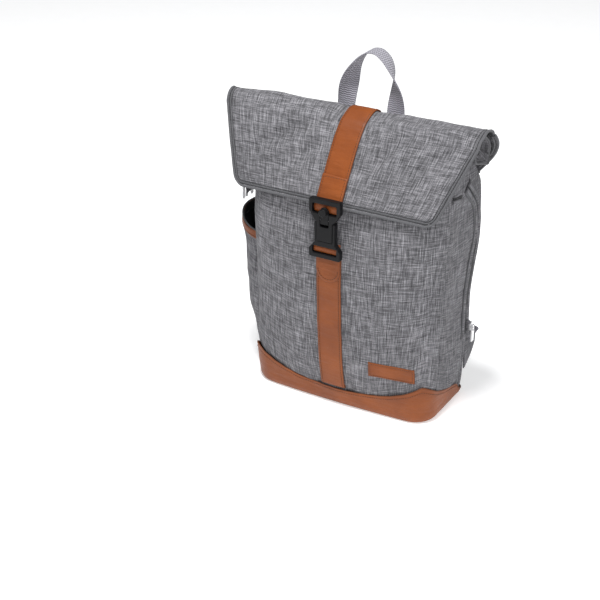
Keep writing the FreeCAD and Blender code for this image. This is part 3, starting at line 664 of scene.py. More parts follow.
def leather_edge(part, cols, rounds, inset=0.0):
    """Height of the leather's upper edge at each column of a part, closed in on by rounds."""
    feet = []
    for c in range(cols):
        foot = 40.0
        for _ in range(rounds):
            p = outline_part(foot, part, cols, inset)[c]
            foot = float(smile_height(p[0], p[1]))
        feet.append(foot)
    return feet


def onto_outline(grid, levels, part, inset=0.0):
    """Puts a grid whose heights are set onto the outline at those heights."""
    table = np.array([outline_part(z, part, grid.shape[1], inset) for z in levels])
    for c in range(grid.shape[1]):
        for k in (0, 1):
            grid[:, c, k] = np.interp(grid[:, c, 2], levels, table[:, c, k])
    return grid


def panel_grid(part, cols, rows, low, high, inset=0.0):
    """Grid of one panel; low is a height or None for the leather's edge."""
    grid = np.zeros((rows, cols, 3))
    if low is not None:
        for r, z in enumerate(np.linspace(low, high, rows)):
            grid[r] = outline_part(z, part, cols, inset)
        return grid
    for c, foot in enumerate(leather_edge(part, cols, 4, inset)):
        grid[:, c, 2] = np.linspace(foot - 3, high, rows)
    return onto_outline(grid, np.arange(0, high + 2, 2.0), part, inset)


def raised(grid, lift):
    return grid + normals_of(grid) * np.asarray(lift)[..., None]


def on_surface(tree, origins, direction, lift=0.0):
    """Where rays from the origins meet a surface, lifted along its own normal."""
    points, outs = [], []
    for origin in origins:
        hit, out, _, _ = tree.ray_cast(Vector(origin), Vector(direction))
        if hit is None:
            hit, out, _, _ = tree.find_nearest(Vector(origin))
        if out.dot(Vector(direction)) > 0:
            out = -out
        points.append(np.array(hit) + np.array(out) * lift)
        outs.append(np.array(out))
    return np.array(points), np.array(outs)


def grid_tree(*grids):
    verts, faces = [], []
    for grid in grids:
        rows, cols = grid.shape[:2]
        base = len(verts)
        verts += [Vector(p) for p in grid.reshape(-1, 3)]
        faces += [(base + r * cols + c, base + r * cols + c + 1, base + (r + 1) * cols + c + 1,
                   base + (r + 1) * cols + c) for r in range(rows - 1) for c in range(cols - 1)]
    return BVHTree.FromPolygons(verts, faces)


def ride(obj, body, *nodes):
    if nodes:
        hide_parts(*nodes)
    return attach(obj, body)


def make_body():
    grids = {}
    for part, cols in (("front", 96), ("right", 30), ("left", 30), ("back", 70)):
        grid = panel_grid(part, cols, 84, None, COLLAR_LOW)
        grids[part] = raised(grid, relief(grid))
    for part, node in (("front", "front_panel"), ("right", "right_gusset"),
                       ("left", "left_gusset"), ("back", "back_panel")):
        obj = grid_object("cloth_" + node, grids[part], [CLOTH, LINING])
        thicken(obj, 2.4, True)
        subdivide(obj)
        ride(obj, "bag", node)
    collar = panel_grid("round", 150, 16, COLLAR_LOW - 1, MOUTH_Z)
    collar = raised(collar, relief(collar) * 0.7)
    grids["collar"] = collar
    obj = grid_object("cloth_mouth_collar", collar, [CLOTH, LINING])
    thicken(obj, 2.4, True)
    ride(obj, "bag", "mouth_collar")
    return grids


def make_base():
    """Leather base: rounded foot, soft corners and a turned upper edge."""
    cols, rows = 200, 26
    grid = np.zeros((rows, cols, 3))
    for c, foot in enumerate(leather_edge("round", cols, 5)):
        grid[:, c, 2] = foot * np.linspace(0, 1, rows) ** 1.35
    levels = np.concatenate([np.linspace(0, 12, 13), np.arange(14, 110, 2.0)])
    grid = onto_outline(grid, levels, "round")
    height = grid[..., 2] / np.maximum(grid[-1:, :, 2], 1)
    lift = (swell(grid * (1, 1, 0.6), 45, 2.0, 2.2) + swell(grid, 18, 0.6, 5.2)) * height
    lift = lift + 0.9 * smooth(height, 0.0, 0.6) + 0.25 * np.sin(grid[..., 0] / 2.6) * height ** 4
    grid = raised(grid, lift)
    rim = grid[-1:] - normals_of(grid)[-1:] * 1.6
    rim[..., 2] += 0.3
    deep = rim.copy()
    deep[..., 2] -= 6
    inward = deep - normals_of(grid)[-1:] * 1.0
    bottom = [grid[0] * (k, k, 1) for k in (0.02, 0.35, 0.7, 0.93)]
    full = np.concatenate([np.array(bottom), grid, rim, inward], axis=0)
    full[..., 2] = np.maximum(full[..., 2], 0.0)
    obj = grid_object("leather_base", full, LEATHER, edge=base_edge(full, rows))
    subdivide(obj)
    ride(obj, "bag", "base_cup")
    rows_in = grid[-4:-2].mean(axis=0)
    outs = normals_of(grid)[-3]
    line = stitches("base_stitching", [(rows_in + outs * 0.15, outs)], TAN_THREAD)
    ride(line, "bag")


def base_edge(full, rows):
    edge = np.full(full.shape[:2], 9.0)
    edge[3 + rows:, :] = 0.0
    edge[2 + rows, :] = 1.6
    return edge


# ---------------------------------------------------------------- stuffed pieces
def mesh_from(name, mesh, material):
    mesh.materials.clear()
    return finish_object(name, mesh, material)


def baked(obj):
    """Replaces an object's mesh by what its modifiers make of it."""
    graph = bpy.context.evaluated_depsgraph_get()
    mesh = bpy.data.meshes.new_from_object(obj.evaluated_get(graph))
    obj.modifiers.clear()
    old = obj.data
    obj.data = mesh
    bpy.data.meshes.remove(old)
    return obj


def soft_copy(name, nodes, material, voxel):
    """Closed, evenly meshed copy of CAD solids, ready to be stuffed or smoothed."""
    work = bmesh.new()
    for node in nodes:
        work.from_mesh(NODES[node].data)
    mesh = bpy.data.meshes.new(name)
    work.to_mesh(mesh)
    work.free()
    obj = mesh_from(name, mesh, material)
    remesh = obj.modifiers.new("Even", "REMESH")
    remesh.mode = "VOXEL"
    remesh.voxel_size = voxel * MM
    return baked(obj)


def coordinates(mesh):
    flat = np.zeros(len(mesh.vertices) * 3, np.float32)
    mesh.vertices.foreach_get("co", flat)
    return flat.reshape(-1, 3).astype(float)


def set_coordinates(mesh, points):
    mesh.vertices.foreach_set("co", np.asarray(points, np.float32).ravel())
    mesh.update()


PAD_PRESSURE, PAD_FRAMES = 4.0, 20


def stuff(pads):
    """Swells the pads together with cloth pressure; each has a cap on how far it may move."""
    scene = bpy.context.scene
    starts = {}
    for obj, _ in pads:
        starts[obj.name] = coordinates(obj.data)
        cloth = obj.modifiers.new("Stuffing", "CLOTH")
        cloth.settings.use_pressure = True
        cloth.settings.uniform_pressure_force = PAD_PRESSURE
        cloth.settings.quality = 5
        cloth.settings.effector_weights.gravity = 0
        cloth.point_cache.frame_start, cloth.point_cache.frame_end = 1, PAD_FRAMES
    for number in range(1, PAD_FRAMES + 1):
        scene.frame_set(number)
    graph = bpy.context.evaluated_depsgraph_get()
    for obj, cap in pads:
        moved = coordinates(obj.evaluated_get(graph).data)
        start = starts[obj.name]
        step = moved - start
        far = np.linalg.norm(step, axis=1, keepdims=True)
        step *= np.minimum(1, cap * MM / np.maximum(far, 1e-9))
        obj.modifiers.clear()
        set_coordinates(obj.data, start + step)
    scene.frame_set(1)


def smoothed(obj, factor, repeat):
    mod = obj.modifiers.new("Relax", "SMOOTH")
    mod.factor, mod.iterations = factor, repeat
    return baked(obj)


def make_pads():
    """Back pads and shoulder straps, stuffed and then quilted."""
    pads = []
    for side in ("left", "right"):
        for kind, cap in (("back_pad_", 3.0), ("strap_pad_", 2.5)):
            pads.append((soft_copy("padded_" + kind + side, [kind + side], MESH, 4.0), cap))
    for obj, _ in pads:
        smoothed(obj, 0.5, 3)
    stuff(pads)
    for obj, _ in pads:
        points = coordinates(obj.data) / MM
        back = "back_pad" in obj.name
        if back:
            groove = sum(np.exp(-(((points[:, 2] + abs(points[:, 0] - 60) * 0.25) - z) / 3.2) ** 2)
                         for z in (118, 176, 234))
            points[:, 1] -= 3.2 * groove * smooth(points[:, 1], 66, 69)
            points[:, 1] = np.maximum(points[:, 1], 62.2)
        else:
            seam = np.exp(-((points[:, 2] - 150) / 2.2) ** 2)
            points[:, 1] -= 1.2 * seam * np.sign(points[:, 1] - 100)
        set_coordinates(obj.data, points * MM)
        subdivide(obj)
        ride(obj, "bag", obj.name.replace("padded_", ""))


# ---------------------------------------------------------------- leather on the front
def stations(z_values, tree, lift, x=0.0):
    origins = [(x, -200.0, z) for z in z_values]
    return on_surface(tree, origins, (0, 1, 0), lift)


def lower_strap_path(tree):
    heights = np.arange(24, 232, 3.0)
    points, outs = stations(heights, tree, 0.0)
    lift = -2.4 + 2.9 * smooth(heights, 25, 34)
    lift = lift + swell(points, 20, 0.5, 8.8)
    points = points + outs * lift[:, None]
    points[:, 0] = 0
    hidden = np.array([(0, -84.6, 238), (0, -85.3, 245), (0, -85.0, 252)])
    return resample(spline(np.vstack([points[::3], hidden]), 120), 90)


def end_scale(count, step, radius):
    """Share of the full width near a rounded end, row by row."""
    d = np.arange(count) * step
    return np.where(d < radius, np.sqrt(np.clip(1 - (1 - d / radius) ** 2, 0.02, 1)), 1.0)


def make_lower_strap(tree):
    path = lower_strap_path(tree)
    side = (1, 0, 0)
    strap = ribbon("lower_strap_leather", path, side, STRAP_WIDTH, 2.0, LEATHER, 0.3)
    ride(strap, "bag", "lower_strap")
    heights = path[:, 2]
    chosen = path[(heights > 196) & (heights < 239)]
    tab_path = resample(chosen, 44) + (0, -2.1, 0)
    tab_path[:, 1] -= 0.3 * np.sin(np.linspace(0, math.pi, 44))
    step = lengths(tab_path)[-1] / 43
    section = flat_section(STRAP_WIDTH - 0.6, 1.5, 0.2)
    tab = sweep("lower_strap_turned_end", tab_path, side, section, LEATHER,
                [STRAP_WIDTH / 2 - abs(a) for a, _ in section], end_scale(44, step, STRAP_WIDTH / 2))
    ride(tab, "bag", "lower_strap_tab")
    lines = []
    for x in (3 - STRAP_WIDTH / 2, STRAP_WIDTH / 2 - 3):
        lines.append((path[4:-14] + (x, -2.35, 0), (0, -1, 0)))
    turn = np.linspace(math.pi, 2 * math.pi, 30)
    reach = STRAP_WIDTH / 2 - 3.5
    arc = np.column_stack([reach * np.cos(turn), np.zeros(30), 214 + reach * np.sin(turn)])
    arc[:, 1] = np.interp(arc[:, 2], tab_path[:, 2], tab_path[:, 1]) - 1.75
    lines.append((arc, (0, -1, 0)))
    ride(stitches("lower_strap_stitching", lines, TAN_THREAD), "bag")
    window = spline([(0, -89.6, 239.6), (0, -91.8, 241.2), (0, -92.2, 244), (0, -91.6, 246.8),
                     (0, -89.6, 248.4)], 20)
    ride(ribbon("lower_strap_loop", window, side, STRAP_WIDTH - 1.6, 1.5, LEATHER),
         "bag")


def make_patch(tree):
    """Blank sewn patch with softened corners."""
    cols, rows = 46, 20
    x0, x1, z0, z1 = 55.0, 118.0, 66.0, 88.0
    grid = np.zeros((rows, cols, 3))
    for r, z in enumerate(np.linspace(z0, z1, rows)):
        points, _ = on_surface(tree, [(x, -200, z) for x in np.linspace(x0, x1, cols)], (0, 1, 0))
        grid[r] = points
    for _ in range(4):
        inner = (grid[:-2, 1:-1] + grid[2:, 1:-1] + grid[1:-1, :-2] + grid[1:-1, 2:]) / 4
        grid[1:-1, 1:-1] = inner
    u = np.linspace(x0, x1, cols)[None, :]
    v = np.linspace(z0, z1, rows)[:, None]
    edge = np.minimum(np.minimum(u - x0, x1 - u), np.minimum(v - z0, z1 - v))
    out = normals_of(grid)
    stitched = 0.35 * np.exp(-((edge - 3.0) / 1.0) ** 2)
    patch = grid + out * (0.7 + 0.9 * smooth(edge, -0.4, 2.2) - stitched)[..., None]
    obj = grid_object("blank_patch", patch, PATCH)
    thicken(obj, 1.0)
    ride(obj, "bag", "label_patch")
    loop = np.vstack([patch[2, 2:-2], patch[2:-2, -3], patch[-3, 2:-2][::-1], patch[2:-2, 2][::-1],
                      patch[2:3, 2]])
    outs = np.vstack([out[2, 2:-2], out[2:-2, -3], out[-3, 2:-2][::-1], out[2:-2, 2][::-1],
                      out[2:3, 2]])
    line = stitches("patch_stitching", [(loop + outs * 0.2, outs)], TAN_THREAD, 3.0,
                    0.34)
    ride(line, "bag")


# ---------------------------------------------------------------- fold and flap
HINGE = ROLL + ROLL_RADIUS * np.array((math.cos(FRONT_ANGLE), math.sin(FRONT_ANGLE)))
TOP_BACK = ROLL + ROLL_RADIUS * np.array((math.cos(BACK_ANGLE), math.sin(BACK_ANGLE)))
FLAP_LENGTH = float(np.hypot(*(FLAP_LOW - HINGE)))
FLAP_DOWN = (FLAP_LOW - HINGE) / FLAP_LENGTH
TOTAL = ARC + FLAP_LENGTH


def fold_profile(run):
    """Middle line of the fold: place and outward direction in (y, z), a run from the back seam."""
    angle = np.minimum(BACK_ANGLE + run / ROLL_RADIUS, FRONT_ANGLE)
    out = np.stack([np.cos(angle), np.sin(angle)], axis=-1)
    place = ROLL + ROLL_RADIUS * out + np.maximum(run - ARC, 0)[..., None] * FLAP_DOWN
    return place, out


def fold_half(run):
    down = np.clip((run - ARC) / FLAP_LENGTH, 0, 1)
    return ROLL_HALF + (FLAP_LOW_HALF - ROLL_HALF) * down + 1.5 * np.sin(math.pi * down)


def fold_cut(run):
    """Half width with the rounded lower corners taken off."""
    left = np.clip(TOTAL - run, 0, FLAP_CORNER)
    return fold_half(run) - FLAP_CORNER + np.sqrt(FLAP_CORNER ** 2 - (FLAP_CORNER - left) ** 2)


def pinch(x, y):
    """How far the roll's left end is pressed forward."""
    return END_PINCH * np.maximum(y - HINGE[0], 0) * smooth(-x, 110, 180)


def fold_points(x, run, depth=0.0):
    x, run = np.broadcast_arrays(np.asarray(x, float), np.asarray(run, float))
    place, out = fold_profile(run)
    down = np.clip((run - ARC) / FLAP_LENGTH, 0, 1)
    bow = FLAP_BOW * down * (x / fold_half(run)) ** 2
    flat = place + out * (depth - bow)[..., None]
    flat[..., 0] -= pinch(x, flat[..., 0])
    drawn = x * (1 - RIGHT_DRAW * down * (x > 0))
    return np.concatenate([drawn[..., None], flat], axis=-1)


def valley(x, run, start, end, width, depth):
    """A soft fold line from one (x, run) to another."""
    a, b = np.array(start, float), np.array(end, float)
    p = np.stack([x, run], axis=-1) - a
    t = np.clip((p @ (b - a)) / ((b - a) @ (b - a)), 0, 1)
    away = np.linalg.norm(p - t[..., None] * (b - a), axis=-1)
    return depth * np.exp(-((away / width) ** 2)) * np.sin(math.pi * np.clip(t, 0.08, 0.92))


def skew(run):
    """The strap leans to the right on its way up the flap."""
    return STRAP_LEAN * np.clip((TOTAL - run) / FLAP_LENGTH, 0, 1)


def fold_relief(x, run):
    points = fold_points(x, run)
    strap = x - skew(run)
    soft = swell(points, 66, 3.2, 2.1) + swell(points * (1, 0.8, 0.8), 28, 1.3, 6.6)
    soft = soft + swell(points, 11, 0.3, 9.4)
    crest = np.exp(-((run - 30) / 20) ** 2)
    soft = soft + crest * swell(points * (0.35, 1.3, 1.3), 20, 2.4, 3.3)
    calm = 0.15 + 0.85 * smooth(abs(strap), 19, 46)
    calm = calm * (0.25 + 0.75 * smooth(TOTAL - run, 3, 40))
    pulled = 8.0 * np.exp(-((run - 37) / 25) ** 2) * np.exp(-((strap / 46) ** 2))
    ridge = 1.9 * np.exp(-((run - 41 - 5 * np.sin(x / 43)) / 3.5) ** 2)
    trough = 3.4 * np.exp(-((run - 25 - 4 * np.sin(x / 37)) / 8) ** 2)
    soft = soft + (ridge - trough) * smooth(abs(x), 24, 60) * smooth(187 - abs(x), 0, 40)
    folds = (valley(x, run, (-30, 48), (-150, 118), 8, 6.0)
             + valley(x, run, (-22, 78), (-84, 128), 7, 3.8)
             + valley(x, run, (88, 44), (26, 132), 8, 6.4)
             + valley(x, run, (140, 56), (92, 126), 9, 2.6)
             + valley(x, run, (-130, 140), (-40, 150), 7, 0.8)
             - valley(x, run, (-24, 66), (-128, 128), 6, 3.4)
             - valley(x, run, (104, 50), (44, 132), 6, 3.4))
    beside = 1.3 * np.exp(-((abs(strap) - 22) / 4.0) ** 2)
    hem = 0.9 * np.exp(-((fold_cut(run) - abs(x) - 4.0) / 1.5) ** 2)
    hem = hem + 0.9 * np.exp(-((TOTAL - run - 4.0) / 1.5) ** 2)
    return soft * calm * smooth(run, 0, 8) - folds - beside - hem - pulled


def make_fold():
    near = np.array([0, 0.3, 0.9, 1.8, 3.0, 4.4, 6.2, 8.5, 11, 14, 17.5, 21.5, 26, 32])
    runs = TOTAL - np.concatenate([near, np.linspace(36, TOTAL, 58)])
    share = np.linspace(-1, 1, 121)
    run = np.broadcast_to(runs[:, None], (len(runs), 121))
    x = fold_cut(run) * share[None, :]
    lift = fold_relief(x, run)
    grid = fold_points(x, run, lift)
    flap = grid_object("cloth_flap_and_roll", grid, [CLOTH, LINING])
    thicken(flap, 2.2, True)
    subdivide(flap)
    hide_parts("flap_panel", "flap_lining", "fold_roll", "fold_lining")
    bend_flap(flap)
    cord = tube("flap_piping_cord", border(0.0, -0.9), 1.7, PIPING)
    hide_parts("flap_piping")
    bend_flap(cord)
    # The two dark SeamShadow tubes, 2.6 and 6.2 mm in, are painted shade: dark lines for the shade
    # in the grooves either side of the light strip.
    for label, reach, lift, radius, material in (("seam", 2.6, -0.1, 0.6, SEAM_SHADOW),
                                                 ("strip", 4.4, -0.4, 1.2, BINDING),
                                                 ("groove_shade", 6.2, -0.1, 0.5, SEAM_SHADOW)):
        bend_flap(tube("flap_edge_" + label, border(reach, lift), radius, material))


def border(reach, lift):
    """Line on the flap's face, a reach inside its side and lower edges."""
    soft, end = FLAP_CORNER - reach, TOTAL - reach
    runs = np.concatenate([np.linspace(3, end - soft, 90),
                           end - soft * (1 - np.sin(np.linspace(0.1, math.pi / 2, 14)))])
    left = np.clip(end - runs, 0, soft)
    half = fold_half(runs) - reach - soft + np.sqrt(soft ** 2 - (soft - left) ** 2)
    low = np.linspace(half[-1], -half[-1], 120)[1:-1]
    flat = resample(np.column_stack([np.concatenate([half, low, -half[::-1]]),
                                     np.concatenate([runs, np.full(118, end), runs[::-1]])]), 420)
    x, run = flat.T
    return fold_points(x, run, fold_relief(x, run) + lift)


def inset(path, outs, distance, towards):
    """Moves a border path inwards along its surface."""
    along = np.gradient(path, axis=0)
    side = np.cross(outs, along)
    side /= np.linalg.norm(side, axis=1, keepdims=True)
    flip = np.sign(((np.asarray(towards) - path) * side).sum(1, keepdims=True))
    return path + side * distance * flip


def bend_flap(obj):
    """Bakes the object's transform into its mesh."""
    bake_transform(obj)


def bend_crease(obj):
    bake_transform(obj)


def make_fold_back():
    """Back panel above the crease, up to the seam behind the roll."""
    rows, cols = 40, 100
    foot = np.array((59.2, 315.0))
    line = spline([foot, (60.4, 322), (59.6, 329.6), (50, 342.6), tuple(TOP_BACK)], rows)
    rise = np.clip((line[:, 1] - 329) / (TOP_BACK[1] - 329), 0, 1)
    half = 139 + (ROLL_HALF + 2 - 139) * np.sin(1.65 * rise)
    x = half[:, None] * np.linspace(1, -1, cols)[None, :]
    grid = np.zeros((rows, cols, 3))
    grid[..., 0] = x
    grid[..., 1] = line[:, None, 0]
    grid[..., 2] = line[:, None, 1]
    calm = smooth(rise, 0, 0.15)[:, None] * smooth(1 - rise, 0, 0.08)[:, None]
    grid[..., 1] -= pinch(x, grid[..., 1]) * smooth(rise, 0.3, 1)[:, None]
    lift = swell(grid, 60, 3.0, 2.9) + swell(grid, 26, 1.2, 6.1) + 2.0 * np.sin(rise * 3.1)[:, None]
    hem = 0.8 * np.exp(-((half[:, None] - abs(x) - 4.0) / 1.5) ** 2)
    grid = raised(grid, lift * calm - hem)
    obj = grid_object("cloth_back_of_fold", grid, CLOTH)
    thicken(obj, 2.2)
    subdivide(obj)
    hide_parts("fold_panel")
    bend_crease(obj)
    cords = []
    out = normals_of(grid)
    for column in (0, -1):
        rim, outs = resample(grid[4:, column], 60), resample(out[4:, column], 60)
        for reach, radius in ((0.0, 1.7), (4.2, 1.0)):
            for depth in (1.1,) if reach == 0 else (0.3, 2.0):
                path = inset(rim, outs, reach, grid[20, 50]) - outs * depth
                cords.append(tube("fold_cord", path, radius + 0.2, BINDING))
            # The thin dark SeamShadow tubes are painted shade, standing for the shade in the grooves
            # beside the piping.
            for depth in (0.2, 2.2):
                path = inset(rim, outs, reach + 2.3, grid[20, 50]) - outs * depth
                cords.append(tube("fold_cord", path, 0.5, SEAM_SHADOW))
    bend_crease(joined("fold_side_piping_and_shade", cords))
    seam = resample(grid[-1], 200)
    bar = tube("fold_top_seam", seam + (0, 0.5, 0.3), 1.0, BINDING)
    ride(bar, "fold")


def make_inner_curl():
    """The mouth's own edge, curled up inside the fold, seen at its open ends."""
    rows, cols = 60, 90
    turn = np.radians(np.linspace(205, 40, 26))
    radii = np.linspace(17.5, 19, 26)
    curl = np.column_stack([ROLL[0] + radii * np.cos(turn), ROLL[1] + 1 + radii * np.sin(turn)])
    under = np.array([(22, 377), (4, 375), (-14, 374.5), (-29, 375)])
    tail = np.array([(5.5, 393), (16, 378), (25, 366), (33, 355)])
    line = resample(spline(np.vstack([under, curl[::3], tail]), 90), rows)
    grid = np.zeros((rows, cols, 3))
    place = np.linspace(0, 1, rows)
    half = 172 - 10 * smooth(place, 0.75, 1.0) - 5 * smooth(0.1 - place, 0, 0.1)
    grid[..., 0] = half[:, None] * np.linspace(-1, 1, cols)
    grid[..., 1:] = line[:, None]
    tight = 0.78 + 0.22 * smooth(abs(grid[..., :1]), 136, 166)
    grid[..., 1:] = ROLL + (grid[..., 1:] - ROLL) * tight
    low = 1 - smooth(place, 0.05, 0.36)[:, None]
    grid[..., 2] -= 15 * low * smooth(abs(grid[..., 0]), 151, 172)
    grid[..., 1] -= pinch(grid[..., 0], grid[..., 1])
    grid = raised(grid, -swell(grid, 40, 2.0, 3.7) - swell(grid, 17, 0.7, 1.1))
    obj = grid_object("cloth_inner_curl", grid, CLOTH)
    thicken(obj, 1.8)
    subdivide(obj)
    ride(obj, "fold")
    cords = [tube("curl_cord_" + str(c), resample(grid[:, c], 50), 1.3, PIPING)
             for c in (0, -1)]
    ride(joined("inner_curl_piping", cords), "fold")


def on_strap(runs, lift, x=0.0):
    """Points on the upper strap's line, a lift above the cloth."""
    lean = skew(runs)
    flat = fold_points(lean, runs, fold_relief(lean, runs) + lift)
    return flat + (x, 0, 0)


def make_upper_strap():
    runs = np.concatenate([np.arange(TOTAL - 4, ARC + 14, -4.0), np.arange(ARC + 12, 0, -2.5)])
    hidden = np.array([(0, -86.2, 291.5), (0, -86.0, 297), (0, -85.6, 303)])
    path = resample(spline(np.vstack([hidden, on_strap(runs, 0.7)]), 260), 150)
    strap = ribbon("upper_strap_leather", path, (1, 0, 0), STRAP_WIDTH, 2.0, LEATHER, 0.35)
    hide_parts("upper_strap", "roll_strap")
    bend_flap(strap)
    tab_path = on_strap(np.linspace(TOTAL - 2, ARC + 66, 30), 2.75)
    tab = ribbon("upper_strap_turned_end", tab_path, (1, 0, 0), STRAP_WIDTH + 0.4, 1.5, LEATHER, 0.2)
    ride(tab, "flap", "upper_strap_tab")
    long_runs = np.linspace(TOTAL - 8, 8, 90)
    lines = []
    _, out = fold_profile(long_runs)
    outs = np.column_stack([np.zeros(90), out])
    for x in (2.8 - STRAP_WIDTH / 2, STRAP_WIDTH / 2 - 2.8):
        step = np.where(long_runs > ARC + 66, 1.45, 0.0)
        lines.append((on_strap(long_runs, 2.85 + step, x), outs))
    bend_flap(stitches("upper_strap_stitching", lines, TAN_THREAD))
    cross = np.column_stack([np.linspace(-15, 15, 12), np.zeros(12), np.zeros(12)])
    run = np.array(ARC + 68.5)
    _, out = fold_profile(run)
    flap_lines = [(cross + on_strap(run, 4.35), np.broadcast_to([0, out[0], out[1]], (12, 3)))]
    ride(stitches("cross_seam", flap_lines, TAN_THREAD), "flap")
    window = spline([(0, -89.6, 295.2), (0, -91.4, 297), (0, -91.8, 301), (0, -91.2, 305),
                     (0, -89.6, 306.8)], 20)
    ride(ribbon("upper_strap_loop", window, (1, 0, 0), STRAP_WIDTH - 1.6, 1.5, LEATHER), "flap")


def make_handle():
    """One length of webbing: sewn feet on the back of the fold, twisting over the top."""
    down = (CREASE - TOP_BACK) / np.hypot(*(CREASE - TOP_BACK))
    out = np.array((math.cos(BACK_ANGLE), math.sin(BACK_ANGLE)))
    left = []
    for s in (50, 40, 30, 22):
        p = TOP_BACK + down * s + out * 2.6
        left.append((-36.0, p[0], p[1]))
    for turn in np.radians((12, 24, 40, 58, 76)):
        rise = math.sin(turn)
        left.append((-36 * math.cos(turn), 22.7 + 9 * rise, 386 + 86 * rise ** 0.8))
    left = np.array(left)
    right = (left * (-1, 1, 1))[::-1]
    top = np.array([(0.0, 31.7, 472.0)])
    path = spline(np.vstack([left, top, right]), 170)
    rise = np.clip((path[:, 2] - 392) / 78, 0, 1)
    twist = math.pi / 2 * smooth(rise, 0.02, 1.0)
    twist[85:] = math.pi - twist[85:]
    across = np.column_stack([np.cos(twist), np.sin(twist), np.zeros(170)])
    section = flat_section(25.0, 1.8)
    section = [(a, h - 0.9) for a, h in section]
    obj = sweep("handle_webbing", path, across, section, WEBBING,
                [12.5 - abs(a) for a, _ in section])
    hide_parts("carry_handle", "handle_anchors")
    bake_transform(obj)
    lines = []
    for x in (-35.0, 35.0):
        box_line = [(-9, 46), (9, 46), (9, 28), (-9, 28), (-9, 46), (9, 28), (9, 46), (-9, 28)]
        points = [(x + a, *(TOP_BACK + down * s + out * 3.7)) for a, s in box_line]
        for first, last in zip(points, points[1:]):
            lines.append((np.linspace(first, last, 6),
                          np.broadcast_to([0, out[0], out[1]], (6, 3))))
    ride(stitches("handle_stitching", lines, GREY_THREAD, 2.6, 0.35), "fold")


# ---------------------------------------------------------------- bottle pocket
def make_pocket():
    cols, low = 44, 46.0
    angle = np.linspace(1, -1, cols) * math.pi / 2
    y = 4.0 + 38.0 * np.sin(angle)
    rim = 216 + (y + 34) * 0.33
    standing = np.array(((low, 0), (56, 8), (68, 13), (80, 18), (92, 23), (115, 28.5), (145, 33),
                         (195, 37), (215, 40), (245, 42)))

    def grid_between(below, above, rows):
        table = []
        for t in np.linspace(0, 1, rows):
            start = np.full(cols, low) if below is None else rim - below
            z = start + (rim - above - start) * t
            bulge = np.mean([np.interp(z + d, *standing.T) for d in (-8, -4, 0, 4, 8)], axis=0)
            table.append(np.column_stack([-138 - (7 * smooth(z, low, 70) + bulge)
                                          * np.cos(angle) ** 0.85, y, z]))
        return tucked(table)

    pouch = grid_between(None, 12.0, 40)
    up = np.linspace(0, 1, 40)[:, None]
    lift = swell(pouch, 34, 2.6, 3.1) + swell(pouch, 14, 0.7, 6.2)
    lift = lift + 0.8 * np.sin(pouch[..., 1] / 2.4) * up ** 4
    pouch = raised(pouch, lift * smooth(up, 0, 0.2))
    obj = grid_object("cloth_bottle_pocket", pouch, [CLOTH, LINING])
    thicken(obj, 1.8, True)
    subdivide(obj)
    ride(obj, "bag", "bottle_pocket")
    rim_line = grid_between(1.0, 0.0, 2)[1]
    cord = tube("pocket_rim_binding", resample(rim_line, 90), 1.2, BINDING)
    ride(cord, "bag")
    trim = grid_between(13.5, 0.4, 9)
    roll = np.sin(np.linspace(0, math.pi, 9))[:, None] * 0.5
    trim = raised(trim, 0.9 + roll + swell(trim, 34, 2.0, 3.1))
    obj = grid_object("pocket_trim_leather", trim, [LEATHER, LINING])
    thicken(obj, 2.6, True)
    subdivide(obj)
    ride(obj, "bag", "bottle_pocket_trim")
    out = normals_of(trim)
    line = stitches("pocket_trim_stitching", [(trim[2] + out[2] * 0.2, out[2])], TAN_THREAD)
    ride(line, "bag")


# ---------------------------------------------------------------- zips
def eased(values, reach):
    """Running mean, so that a sewn line doesn't follow every swell of the cloth."""
    wide = np.pad(values, reach, mode="edge")
    return np.convolve(wide, np.full(2 * reach + 1, 1 / (2 * reach + 1)), mode="valid")


def make_side_zip(tree):
    route = spline(ZIP_MIDDLE, 110)
    along = directions(route)
    spread = eased(np.interp(route[:, 1], (222, 242), (9.4, 4.4)), 6)
    side, out = np.column_stack([np.zeros(110), along[:, 1], -along[:, 0]]), (1, 0, 0)

    def line(distance, lift):
        flat = route + side[:, 1:] * np.broadcast_to(distance, 110)[:, None]
        hits, _ = on_surface(tree, [(260, y, z) for y, z in flat], (-1, 0, 0))
        return np.column_stack([eased(hits[:, 0], 9) + lift, flat])

    halves = (spread + 1) * np.interp(route[:, 1], (308, 326), (1.0, 0.35))
    ride(ribbon_between(line(0, 0.6), side, halves, "side_zip_coil"), "bag", "side_zip_tape")
    section = [(3.2 * math.cos(t), 0.5 + 2.2 * max(math.sin(t), -0.25))
               for t in np.linspace(0, 2 * math.pi, 14, endpoint=False)]
    for sign, name in ((-1, "front"), (1, "back")):
        lip = sweep("zip_lip_" + name, line(sign * spread, 0.3), side, section, CLOTH)
        ride(lip, "bag", "side_zip_lip_" + name)
        cord = tube("zip_piping_" + name, line(sign * (spread + 4.3), 0.9), 1.15, PIPING)
        ride(cord, "bag")


def ribbon_between(path, side, halves, name):
    """Zip tape of changing width, lying on a surface."""
    cols = 9
    grid = path[:, None] + side[:, None] * (np.linspace(-1, 1, cols)[None, :, None]
                                            * np.asarray(halves)[:, None, None])
    obj = grid_object(name, grid, ZIP)
    thicken(obj, 0.6)
    return obj


def make_main_zip():
    """Zip end with two sliders: a short tab that stands off the left front corner."""
    rows, cols = 9, 60
    grid = np.zeros((rows, cols, 3))
    for r, z in enumerate(np.linspace(276, 298, rows)):
        line = half_outline(z)
        rising = line[:, 1] + np.arange(len(line)) * 1e-6
        y = np.linspace(38, -58, cols)
        grid[r] = np.column_stack([-np.interp(y, rising, line[:, 0]), y, np.full(cols, z)])
    lift = relief(grid) * 0.6
    grid = raised(grid, np.maximum(lift, -0.4) + 0.9)
    coil = np.exp(-((grid[..., 2] - 287) / 2.4) ** 2)
    obj = grid_object("main_zip_coil", raised(grid, coil * 0.7).transpose(1, 0, 2)[:, ::-1],
                      [ZIP, CLOTH])
    thicken(obj, 1.8, True)
    ride(obj, "bag", "main_zip_end")


